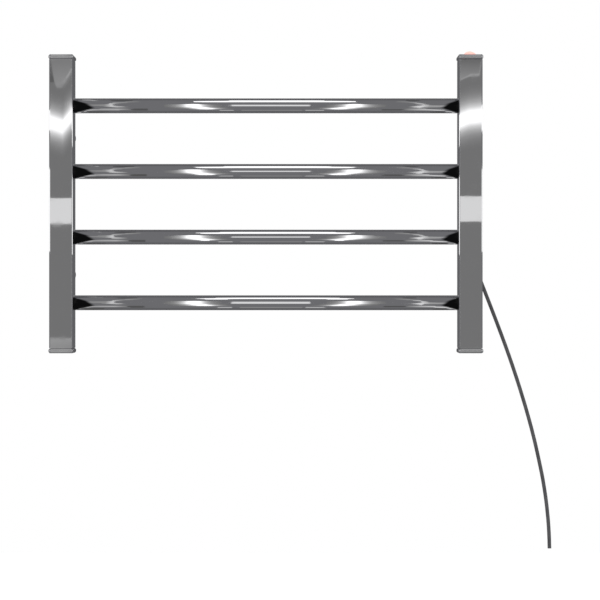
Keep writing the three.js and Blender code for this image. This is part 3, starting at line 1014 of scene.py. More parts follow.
@dataclass
class EndCaps:
    """The four bullnose caps that close the uprights."""

    corner: float = 3.0 * MM
    corner_steps: int = 8
    edge: float = 2.62 * MM
    edge_steps: int = 8
    thickness: float = 6.1 * MM
    leg_width: float = 26.4 * MM
    leg_thickness: float = 2.0 * MM
    leg_span: float = 36.4 * MM
    lens_hole: float = 9.1 * MM
    hole_edge: float = 0.25 * MM
    hole_steps: int = 96
    finish: Finish = CapChrome("mirror_chrome_cap", tone=0.95, haze=0.05, marks=0.03)

    def _plate(self, width: float, depth: float) -> bmesh.types.BMesh:
        """The cap's plate, from z = 0 up.

        Args:
            width: its size along X.
            depth: its size along Y.

        Returns:
            The plate with its full round edge.
        """
        bm = new_bmesh()
        face = rounded_face(bm, width, depth, self.corner, self.corner_steps)
        extrude_up(bm, [face], self.thickness)
        flat = {0.0, self.thickness}
        rims = [
            edge for edge in bm.edges
            if any(math.isclose(edge.verts[0].co.z, z, abs_tol=1e-7)
                   and math.isclose(edge.verts[1].co.z, z, abs_tol=1e-7) for z in flat)
        ]
        bmesh.ops.bevel(
            bm, geom=rims, offset=self.edge, offset_type="OFFSET", segments=self.edge_steps,
            profile=0.5, affect="EDGES", material=-1,
        )
        return bm

    def _add_legs(self, bm: bmesh.types.BMesh, length: float) -> None:
        """Adds the two legs that plug into the upright, below z = 0.

        Args:
            bm: the plate's bmesh.
            length: how far the legs reach down.
        """
        top = self.thickness / 2
        for end in (-1, 1):
            y = end * (self.leg_span - self.leg_thickness) / 2
            size = Matrix.Diagonal((self.leg_width, self.leg_thickness, length + top, 1.0))
            at = Matrix.Translation((0.0, y, (top - length) / 2))
            bmesh.ops.create_cube(bm, size=1.0, matrix=at @ size)

    def _lens_cutter(self, centre: Vector, top: float) -> bmesh.types.BMesh:
        """The shape of the button's hole with its broken upper edge.

        Args:
            centre: the hole's axis.
            top: the height of the cap's top face.

        Returns:
            The cutter.
        """
        hole, edge = self.lens_hole, self.hole_edge
        profile = [
            (0.0, -0.02), (hole, -0.02), (hole, -edge), (hole + edge, 0.0),
            (hole + 2 * edge, edge), (hole + 2 * edge, 0.01), (0.0, 0.01),
        ]
        return laid(turned(profile, self.hole_steps, closed=False), Axis.Z, (centre.x, centre.y, top))

    def build(self) -> None:
        """Makes the four caps."""
        for level, up in (("top", 1), ("bottom", -1)):
            for side in SIDES:
                node = f"end_cap_{level}_{side}"
                low, high = (Vector(corner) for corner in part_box(node))
                size, middle = high - low, (low + high) / 2
                bm = self._plate(size.x, size.y)
                self._add_legs(bm, size.z - self.thickness)
                outer = high.z if up > 0 else low.z
                place = Matrix.Translation((middle.x, middle.y, outer - up * self.thickness))
                bmesh.ops.transform(
                    bm, matrix=place @ Matrix.Diagonal((1, 1, up, 1)), verts=bm.verts[:]
                )
                lens = middle_of("switch_lens")
                cutters = [self._lens_cutter(lens, high.z)] if node == "end_cap_top_right" else []
                add_piece(
                    f"{node}_plate", bm, Body.RACK, self.finish, [node], cutters
                )


@dataclass
class WallBrackets:
    """The four round posts to the wall, with their spigots, grub screws, studs and nuts."""

    outer: float = 10.0 * MM
    chamfer: float = 0.6 * MM
    stud_bore: float = 3.3 * MM
    stud_depth: float = 14.0 * MM
    spigot_bore: float = 7.3 * MM
    spigot_depth: float = 16.3 * MM
    grub_bore: float = 2.3 * MM
    sides: int = 96
    chrome: Finish = Chrome("mirror_chrome_post", haze=0.04)
    zinc: Finish = PlatedMetal("zinc_plating")
    steel: Finish = PlatedMetal(
        "blackened_steel", light=(0.2, 0.2, 0.21, 1.0), dark=(0.1, 0.1, 0.105, 1.0), rough=0.38
    )

    def build(self) -> None:
        """Makes the posts and dresses what they hold."""
        for place in PLACES:
            node = f"wall_post_{place}"
            low, high = (Vector(corner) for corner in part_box(node))
            front, wall = low.y, high.y
            profile = [
                (0.0, front + self.stud_depth), (self.stud_bore, front + self.stud_depth),
                (self.stud_bore, front), (self.outer - self.chamfer / 3, front),
                (self.outer, front + self.chamfer / 3),
                (self.outer, wall - self.chamfer), (self.outer - self.chamfer, wall),
                (self.spigot_bore, wall), (self.spigot_bore, wall - self.spigot_depth),
                (0.0, wall - self.spigot_depth),
            ]
            axis = middle_of(node)
            bm = laid(turned(profile, self.sides, closed=False), Axis.Y, (axis.x, 0.0, axis.z))
            grub = middle_of(f"grub_screw_{place}")
            bore = [(0.0, -0.03), (self.grub_bore, -0.03), (self.grub_bore, 0.0), (0.0, 0.0)]
            cutter = laid(turned(bore, self.sides // 2, closed=False), Axis.Z,
                          (grub.x, grub.y, axis.z))
            add_piece(
                f"{node}_tube", bm, Body.RACK, self.chrome, [node], [cutter]
            )
            dress(self.zinc, f"wall_spigot_{place}", f"weld_nut_{place}", f"bracket_stud_{place}")
            dress(self.steel, f"grub_screw_{place}")


@dataclass
class PushSwitch:
    """The push switch in the right upright's top: dome, plunger, spring, housing and lamp."""

    radius: float = 8.8 * MM
    dome: float = 10.0 * MM
    wall: float = 1.4 * MM
    straight: float = 6.5 * MM
    dome_steps: int = 16
    sides: int = 96
    brass: Finish = PlatedMetal(
        "terminal_brass", light=(0.78, 0.58, 0.27, 1.0), dark=(0.55, 0.38, 0.16, 1.0), rough=0.28
    )
    spring_steel: Finish = PlatedMetal("spring_steel", rough=0.22, crystal_cells=1500.0)
    housing: Finish = Moulded("switch_plastic", rough=0.46)
    plunger: Finish = Moulded(
        "plunger_plastic", (0.62, 0.6, 0.56, 1.0), (0.7, 0.68, 0.64, 1.0), rough=0.4
    )
    zinc: Finish = PlatedMetal("switch_screw_zinc", rough=0.26)

    def _dome(self, sphere: float, rim: float, height: float) -> list[tuple[float, float]]:
        """The dome's profile from its rim to its top.

        Args:
            sphere: the dome's radius.
            rim: the radius of its rim.
            height: the height of its rim.

        Returns:
            The points, the last one on the axis.
        """
        lean = math.asin(rim / sphere)
        centre = height - sphere * math.cos(lean)
        turns = [lean * (1 - step / self.dome_steps) for step in range(self.dome_steps + 1)]
        return [(sphere * math.sin(t), centre + sphere * math.cos(t)) for t in turns]

    def build(self) -> None:
        """Makes the lens and dresses the rest of the switch."""
        low, _ = (Vector(corner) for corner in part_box("switch_lens"))
        centre = middle_of("switch_lens")
        rim = low.z + self.straight
        bore = self.radius - self.wall
        inner = self._dome(self.dome - self.wall, bore, rim)
        outer = self._dome(self.dome, self.radius, rim)
        profile = [*reversed(inner), (bore, low.z), (self.radius, low.z), *outer]
        bm = laid(turned(profile, self.sides, closed=False), Axis.Z, (centre.x, centre.y, 0.0))
        finish = GlowingLens("lens_plastic", axis=(centre.x, centre.y, 0.0))
        add_piece("switch_lens_dome", bm, Body.BUTTON, finish, ["switch_lens"])
        dress(self.plunger, "switch_plunger")
        dress(self.spring_steel, "switch_spring")
        dress(self.housing, "switch_housing")
        dress(GlowingLens(
            "lamp_glass", (1.0, 0.5, 0.3, 1.0), (1.0, 0.3, 0.15, 1.0),
            (centre.x, centre.y, 0.0), 0.5 * MM, 2.5 * MM, 1.5,
        ), "switch_lamp")
        dress(self.zinc, "switch_screw_front", "switch_screw_back")
        dress(self.brass, "switch_tab_live", "switch_tab_switched")


@dataclass
class CordEntry:
    """The gland with its tapered strain relief, its nut and the cord's inner end."""

    thread: float = 6.0 * MM
    flange: float = 8.5 * MM
    flange_thickness: float = 3.0 * MM
    flange_edge: float = 0.6 * MM
    root: float = 6.2 * MM
    tip: float = 3.6 * MM
    bore: float = 2.7 * MM
    grooves: int = 4
    groove_pitch: float = 3.6 * MM
    groove_width: float = 1.4 * MM
    groove_depth: float = 0.9 * MM
    flange_face: float = -63.7 * MM
    sides: int = 72
    moulding: Finish = Moulded("gland_plastic", rough=0.52)
    cord: Finish = Moulded("inner_cord_rubber", (0.062, 0.062, 0.066, 1.0), (0.1, 0.1, 0.105, 1.0))

    def build(self) -> None:
        """Makes the gland and dresses its nut and the cord inside."""
        low, high = (Vector(corner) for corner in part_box("cord_gland"))
        axis = middle_of("cord_gland")
        shoulder = self.flange_face + self.flange_thickness

        def taper(y: float) -> float:
            """The relief's radius at a depth."""
            share = (y - shoulder) / (high.y - shoulder)
            return self.root + share * (self.tip - self.root)

        grooves = []
        for index in range(self.grooves):
            start = shoulder + self.groove_pitch * (index + 1) - self.groove_width / 2
            end = start + self.groove_width
            grooves += [
                (taper(start), start),
                (taper(start) - self.groove_depth, start),
                (taper(end) - self.groove_depth, end),
                (taper(end), end),
            ]
        edge = self.flange_edge
        profile = [
            (self.bore, low.y), (self.thread, low.y), (self.thread, self.flange_face),
            (self.flange, self.flange_face),
            *arc((self.flange - edge, shoulder - edge), edge, 0, 90, 4),
            (self.root, shoulder), *grooves,
            (self.tip, high.y), (self.bore, high.y),
        ]
        bm = laid(turned(profile, self.sides, closed=True), Axis.Y, (axis.x, 0.0, axis.z))
        add_piece(
            "cord_gland_relief", bm, Body.RACK, self.moulding, ["cord_gland"]
        )
        dress(self.moulding, "gland_nut")
        dress(self.cord, "cord_inner_end")


@dataclass
class Wiring:
    """The heating cable, its splices, the thermal cut-out, the leads and the earth point."""

    heater: Finish = Moulded(
        "heater_silicone", (0.42, 0.09, 0.045, 1.0), (0.5, 0.13, 0.07, 1.0), rough=0.55
    )
    sleeve: Finish = Braided("sleeve_white")
    case: Finish = Moulded("cutout_case", (0.7, 0.67, 0.6, 1.0), (0.78, 0.75, 0.68, 1.0), 0.4)
    live: Finish = Moulded("live_brown", (0.13, 0.055, 0.022, 1.0), (0.17, 0.075, 0.03, 1.0), 0.42)
    neutral: Finish = Moulded("neutral_blue", (0.03, 0.09, 0.3, 1.0), (0.04, 0.12, 0.37, 1.0), 0.42)
    earth: Finish = StripedCover("earth_green")
    brass: Finish = PlatedMetal(
        "earth_brass", light=(0.78, 0.58, 0.27, 1.0), dark=(0.55, 0.38, 0.16, 1.0), rough=0.28
    )

    def build(self) -> None:
        """Dresses the wiring's CAD nodes."""
        dress(self.heater, "heating_cable")
        dress(self.sleeve, "splice_lower", "splice_upper")
        dress(self.case, "thermal_cutout")
        dress(self.live, "lead_live", "lead_switched", "lead_heater")
        dress(self.neutral, "lead_neutral")
        dress(self.earth, "lead_earth")
        dress(self.brass, "earth_stud", "earth_nut", "earth_ring")


class GlowAxis(Enum):
    """The direction along which a card's glow changes."""

    ALONG_X = 0
    ALONG_Z = 2


PAST_FIRST_MIRROR = 1.5


@dataclass(frozen=True)
class Card:
    """A glowing card of the studio that only reflections see.

    Its glow is given by stops of place and brightness. A bend lets the stops climb away from the
    middle of the card: middle X, climb to the left and climb to the right. Full is the level that
    the ramp counts from, and hung brings the card nearer. A card shows in a mirror, but not in a
    mirror that is seen in another one.
    """

    name: str
    stops: Stops
    axis: GlowAxis = GlowAxis.ALONG_Z
    bend: Point = (0.0, 0.0, 0.0)
    full: float = 1.4
    hung: float = 0.0

    def hang(self, bm: bmesh.types.BMesh) -> None:
        """Hangs the card.

        Args:
            bm: its mesh, which is freed.
        """
        mesh = bpy.data.meshes.new(self.name)
        bm.to_mesh(mesh)
        bm.free()
        card = bpy.data.objects.new(self.name, mesh)
        bpy.context.scene.collection.objects.link(card)
        material = bpy.data.materials.new(f"{self.name}_glow")
        material.use_nodes = True
        mesh.materials.append(material)
        self._glow(NodeBench(material.node_tree))
        card.visible_camera = False
        card.visible_diffuse = False
        card.visible_shadow = False

    def _glow(self, bench: NodeBench) -> None:
        """Builds the graded glow.

        Args:
            bench: the bench of the card's material.
        """
        parts = bench.split(bench.place())
        along = parts[self.axis.value]
        middle, left, right = self.bend
        if left or right:
            off = parts[0] - middle
            climb = bench.maths("MAXIMUM", off, 0.0) * right - bench.maths("MINIMUM", off, 0.0) * left
            along = along - climb
        start, end = self.stops[0][0], self.stops[-1][0]
        share = bench.node(
            "ShaderNodeMapRange", {"clamp": True},
            {"Value": along, "From Min": start, "From Max": end, "To Min": 0.0, "To Max": 1.0},
        )
        stops = [
            ((place - start) / (end - start), (*[level / self.full] * 3, 1.0))
            for place, level in self.stops
        ]
        ramp = bench.node("ShaderNodeValToRGB", {"stops": stops}, {"Fac": share.outputs["Result"]})
        glow = bench.node(
            "ShaderNodeEmission", sockets={"Color": ramp.outputs["Color"], "Strength": self.full}
        )
        depth = bench.signal(bench.node("ShaderNodeLightPath"), "Ray Depth")
        clear = bench.node("ShaderNodeBsdfTransparent")
        shown = bench.node("ShaderNodeMixShader", sockets={
            0: bench.maths("LESS_THAN", depth, PAST_FIRST_MIRROR),
            1: clear.outputs["BSDF"],
            2: glow.outputs["Emission"],
        })
        bench.node("ShaderNodeOutputMaterial", sockets={"Surface": shown.outputs["Shader"]})


@dataclass(frozen=True)
class FaceCard:
    """A card behind the camera, drawn as it is seen mirrored in the uprights' flat faces."""

    card: Card
    outline: tuple[tuple[float, float], ...]


@dataclass(frozen=True)
class RungCard:
    """A bent card round the rungs, drawn as it is seen mirrored in a rung.

    Each station gives the place along the rung, and the card's upper and lower edge as shares of
    the rung's radius above its middle.
    """

    card: Card
    stations: tuple[tuple[float, float, float], ...]
    bend_steps: int = 12


class Side(Enum):
    """The side of the rack that a card hangs on, as the sign of its X."""

    LEFT = -1
    RIGHT = 1


@dataclass(frozen=True)
class SideCard:
    """A card bent round one side of the rack, which the uprights' round corners mirror.

    It runs from one turn to another, in degrees from straight ahead.
    """

    card: Card
    side: Side
    start: float
    end: float
    low: float
    high: float
    distance: float
    bend_steps: int = 24


@dataclass
class Studio:
    """Camera, floor, white room and the cards that the chrome mirrors."""

    camera_at: Point = (0.0432, -3.330, -0.1219)
    lens: float = 152.9
    floor_height: float = -0.90
    floor_size: float = 9.0
    room: Colour = (1.0, 1.0, 1.0, 1.0)
    front: float = 0.157
    back: float = 0.116
    face_y: float = -0.104
    rung_y: float = -0.0935
    card_distance: float = 6.0
    face_cards: tuple[FaceCard, ...] = field(default_factory=lambda: FACE_CARDS)
    rung_cards: tuple[RungCard, ...] = field(default_factory=lambda: RUNG_CARDS)
    side_cards: tuple[SideCard, ...] = field(default_factory=lambda: SIDE_CARDS + SOFT_BOXES)

    def place_camera(self) -> None:
        """Places the camera at the viewing angle."""
        data = bpy.data.cameras.new("front_camera")
        data.lens = self.lens
        data.clip_end = 60.0
        camera = bpy.data.objects.new("front_camera", data)
        camera.location = self.camera_at
        camera.rotation_euler = (math.pi / 2, 0.0, 0.0)
        bpy.context.scene.collection.objects.link(camera)
        bpy.context.scene.camera = camera

    def build(self) -> None:
        """Makes the floor, the room's light and the cards."""
        self._room()
        self._floor()
        for face_card in self.face_cards:
            self._hang_face_card(face_card)
        for rung_card in self.rung_cards:
            self._hang_rung_card(rung_card)
        for side_card in self.side_cards:
            self._hang_side_card(side_card)
        bpy.context.scene.view_settings.view_transform = "Standard"

    def _room(self) -> None:
        """Lights the room: white to the eye, a dim grey in mirrors, darker to the sides."""
        world = bpy.data.worlds.new("room")
        bpy.context.scene.world = world
        world.use_nodes = True
        bench = NodeBench(world.node_tree)
        ray = bench.node("ShaderNodeLightPath")
        mirror = bench.signal(ray, "Is Glossy Ray")
        heading = bench.node("ShaderNodeTexCoord").outputs["Generated"]
        _, ahead, _ = bench.split(heading)
        level = self.front + ahead.ramp(-0.2, 0.2) * (self.back - self.front)
        grey = bench.node(
            "ShaderNodeCombineColor", sockets={"Red": level, "Green": level, "Blue": level * 1.05}
        ).outputs["Color"]
        colour = bench.mix(mirror, self.room, grey)
        light = bench.node("ShaderNodeBackground", sockets={"Color": colour, "Strength": 1.0})
        bench.node("ShaderNodeOutputWorld", sockets={"Surface": light.outputs["Background"]})

    def _floor(self) -> None:
        """Lays the plain pale floor, which meets the white room without a line."""
        bm = new_bmesh()
        bmesh.ops.create_grid(bm, x_segments=1, y_segments=1, size=self.floor_size / 2)
        bmesh.ops.translate(bm, verts=bm.verts[:], vec=(0.0, 0.0, self.floor_height))
        mesh = bpy.data.meshes.new("floor")
        bm.to_mesh(mesh)
        bm.free()
        floor = bpy.data.objects.new("floor", mesh)
        bpy.context.scene.collection.objects.link(floor)
        material = bpy.data.materials.new("floor_white")
        material.use_nodes = True
        NodeBench(material.node_tree).surface({
            "Base Color": (0.92, 0.92, 0.92, 1.0),
            "Roughness": 0.9,
            "Emission Color": (1.0, 1.0, 1.0, 1.0),
            "Emission Strength": 0.2,
        })
        mesh.materials.append(material)
        floor.visible_glossy = False

    def _mirrored(self, x: float, z: float, bounce_y: float, reach: float) -> Vector:
        """The point that the camera sees at a place on a flat mirror.

        Args:
            x: the place's X on the mirror.
            z: the place's Z on the mirror.
            bounce_y: the mirror's Y.
            reach: how far behind the mirror's plane the point lies, towards the camera.

        Returns:
            The point.
        """
        eye = Vector(self.camera_at)
        grow = 1 + reach / (bounce_y - eye.y)
        return Vector((eye.x + (x - eye.x) * grow, bounce_y - reach, eye.z + (z - eye.z) * grow))

    def _hang_face_card(self, face_card: FaceCard) -> None:
        """Hangs a card behind the camera.

        Args:
            face_card: the card as seen in the uprights' faces.
        """
        bm = new_bmesh()
        card = face_card.card
        reach = self.card_distance - card.hung
        points = [self._mirrored(x, z, self.face_y, reach) for x, z in face_card.outline]
        bm.faces.new([bm.verts.new(point) for point in points])
        eye = Vector(self.camera_at)
        grow = 1 + reach / (self.face_y - eye.y)
        stops = tuple((eye.z + (z - eye.z) * grow, level) for z, level in card.stops)
        middle, left, right = card.bend
        bend = (eye.x + (middle - eye.x) * grow, left, right)
        replace(card, stops=stops, bend=bend).hang(bm)

    def _hang_rung_card(self, rung_card: RungCard) -> None:
        """Hangs a card bent round the rungs.

        Args:
            rung_card: the card as seen in a rung.
        """
        eye = Vector(self.camera_at)
        reach = self.card_distance - rung_card.card.hung
        grow = 1 + reach / (self.rung_y - eye.y)
        lean = -eye.z / (self.rung_y - eye.y)
        stations = rung_card.stations
        bm = new_bmesh()
        bmesh.ops.create_grid(
            bm, x_segments=len(stations) - 1, y_segments=rung_card.bend_steps, size=0.5
        )
        for vert in bm.verts:
            column = round((vert.co.x + 0.5) * (len(stations) - 1))
            x, upper, lower = stations[column]
            share = lower + (vert.co.y + 0.5) * (upper - lower)
            rise = 2 * math.asin(share) + lean
            vert.co = (
                eye.x + (x - eye.x) * grow,
                self.rung_y - reach * math.cos(rise),
                reach * math.sin(rise),
            )
        card = rung_card.card
        stops = card.stops
        if card.axis is GlowAxis.ALONG_X:
            stops = tuple((eye.x + (x - eye.x) * grow, level) for x, level in stops)
        replace(card, stops=stops).hang(bm)

    def _hang_side_card(self, side_card: SideCard) -> None:
        """Hangs a card bent round one side.

        Args:
            side_card: the card and its place.
        """
        bm = new_bmesh()
        bmesh.ops.create_grid(bm, x_segments=side_card.bend_steps, y_segments=1, size=0.5)
        for vert in bm.verts:
            turn = math.radians(
                side_card.start + (vert.co.x + 0.5) * (side_card.end - side_card.start)
            )
            vert.co = (
                side_card.side.value * side_card.distance * math.sin(turn),
                -side_card.distance * math.cos(turn),
                side_card.low + (vert.co.y + 0.5) * (side_card.high - side_card.low),
            )
        side_card.card.hang(bm)


ROOM_GLOW = 0.16
FADE_STEPS = 6
FACE_PEAK = 1.2
FACE_FADE = 0.0055
SOFT_PEAK = 1.3
SOFT_BANDS = (("crown", 0.24, -0.20), ("belly", -0.20, -0.33), ("tail", -0.33, -0.49))
CROWN_TAPER = 0.14
TAIL_TAPER = 0.07


def soft_glow(
    start: float, end: float, before: float, after: float, peak: float
) -> Stops:
    """A light that is full between two places and halves with distance outside them.

    Args:
        start: where its full part starts.
        end: where its full part ends.
        before: the distance over which it halves before the start.
        after: the distance over which it halves after the end.
        peak: its full level.

    Returns:
        The stops of a card's glow.
    """
    levels = [ROOM_GLOW + (peak - ROOM_GLOW) / 2**step for step in range(FADE_STEPS + 1)]
    rise = [(start - before * step, level) for step, level in enumerate(levels)]
    fall = [(end + after * step, level) for step, level in enumerate(levels)]
    return (*reversed(rise), *fall)


def slanted_light(
    name: str, start: float, end: float, before: float, after: float, lean: float
) -> tuple[RungCard, ...]:
    """A soft light on the rungs that leans along them, as three bands one under the other.

    Args:
        name: the light's name.
        start: where its top band's full part starts.
        end: where its top band's full part ends.
        before: the distance over which it halves before the start.
        after: the distance over which it halves after the end.
        lean: how far each band lies along the rung from the one above it.

    Returns:
        The bands' cards.
    """
    cards = []
    for index, (band, upper, lower) in enumerate(SOFT_BANDS):
        shift = lean * index
        glow = soft_glow(start + shift, end + shift, before, after, SOFT_PEAK)
        middle = (start + end) / 2 + shift
        top = upper - (CROWN_TAPER if index == 0 else 0.0)
        foot = lower + (TAIL_TAPER if index == len(SOFT_BANDS) - 1 else 0.0)
        cards.append(RungCard(
            Card(f"{name}_{band}", glow, GlowAxis.ALONG_X),
            ((glow[0][0], top, foot), (middle, upper, lower), (glow[-1][0], top, foot)),
        ))
    return tuple(cards)


FACE_CARDS = (
    FaceCard(
        Card(
            "left_tall_light",
            soft_glow(0.091, 0.104, FACE_FADE, FACE_FADE, FACE_PEAK),
            bend=(-0.2570, 0.33, 1.33),
        ),
        ((-0.3600, -0.192), (-0.2400, -0.192), (-0.2400, 0.192), (-0.3600, 0.192)),
    ),
    FaceCard(
        Card(
            "right_tall_light",
            soft_glow(0.103, 0.117, FACE_FADE, FACE_FADE, FACE_PEAK),
            bend=(0.2571, -0.40, 0.13),
        ),
        ((0.2400, -0.192), (0.3600, -0.192), (0.3600, 0.192), (0.2400, 0.192)),
    ),
    FaceCard(
        Card("left_window", ((-0.1, 0.705), (0.1, 0.705)), hung=0.05),
        ((-0.3600, -0.0262), (-0.2400, -0.0256), (-0.2400, 0.0072), (-0.3600, 0.0068)),
    ),
    FaceCard(
        Card("right_window", ((-0.1, 0.705), (0.1, 0.705)), hung=0.05),
        ((0.2400, -0.0226), (0.3600, -0.0232), (0.3600, 0.0090), (0.2400, 0.0096)),
    ),
    FaceCard(
        Card(
            "left_upper_light",
            ((0.145, 0.30), (0.185, 0.20)),
            hung=0.05,
        ),
        (
            (-0.2744, 0.1900), (-0.2722, 0.1768), (-0.2669, 0.1515), (-0.2650, 0.1475),
            (-0.2640, 0.1466), (-0.2590, 0.1466), (-0.2572, 0.1480), (-0.2558, 0.1510),
            (-0.2400, 0.1765), (-0.2400, 0.1900),
        ),
    ),
    FaceCard(
        Card("left_cap_light", ((0.18, 0.35), (0.21, 0.35)), hung=0.15),
        ((-0.3600, 0.1830), (-0.2400, 0.1830), (-0.2400, 0.2100), (-0.3600, 0.2100)),
    ),
    FaceCard(
        Card("right_cap_light", ((0.18, 0.30), (0.21, 0.30)), hung=0.15),
        ((0.2400, 0.1838), (0.3600, 0.1838), (0.3600, 0.2100), (0.2400, 0.2100)),
    ),
    FaceCard(
        Card("left_foot_light", ((-0.21, 0.36), (-0.18, 0.36)), hung=0.15),
        ((-0.3600, -0.2100), (-0.2400, -0.2100), (-0.2400, -0.1838), (-0.3600, -0.1838)),
    ),
    FaceCard(
        Card("right_foot_light", ((-0.21, 0.31), (-0.18, 0.31)), hung=0.15),
        ((0.2400, -0.2100), (0.3600, -0.2100), (0.3600, -0.1838), (0.2400, -0.1838)),
    ),
    FaceCard(
        Card("right_upper_edge", ((0.15, 0.335), (0.19, 0.335)), hung=0.10),
        (
            (0.2400, 0.1535), (0.2457, 0.1556), (0.2530, 0.1590), (0.2585, 0.1609),
            (0.2700, 0.1612), (0.2708, 0.1640), (0.2734, 0.1830), (0.2729, 0.1830),
            (0.2700, 0.1646), (0.2597, 0.1644), (0.2546, 0.1616), (0.2451, 0.1566),
            (0.2400, 0.1545),
        ),
    ),
    FaceCard(
        Card("left_upper_edge", ((0.15, 0.40), (0.18, 0.40)), hung=0.10),
        ((-0.2558, 0.1510), (-0.2400, 0.1765), (-0.2416, 0.1780), (-0.2574, 0.1525)),
    ),
    FaceCard(
        Card(
            "left_low_light",
            ((-0.185, 0.25), (-0.170, 0.32)),
            bend=(-0.2450, -0.15, 0.0),
            hung=0.05,
        ),
        ((-0.3600, -0.1900), (-0.2400, -0.1900), (-0.2400, -0.1700), (-0.3600, -0.1690)),
    ),
    FaceCard(
        Card("left_upper_shade", ((0.15, 0.112), (0.19, 0.112)), hung=0.05),
        (
            (-0.3600, 0.1900), (-0.3600, 0.1535), (-0.2675, 0.1535), (-0.2722, 0.1768),
            (-0.2744, 0.1900),
        ),
    ),
    FaceCard(
        Card(
            "right_upper_light",
            ((0.155, 0.29), (0.185, 0.13)),
            hung=0.05,
        ),
        (
            (0.2400, 0.1900), (0.2400, 0.1535), (0.2457, 0.1556), (0.2530, 0.1590),
            (0.2585, 0.1609), (0.2700, 0.1612), (0.2708, 0.1640), (0.2734, 0.1830),
            (0.2736, 0.1900),
        ),
    ),
)

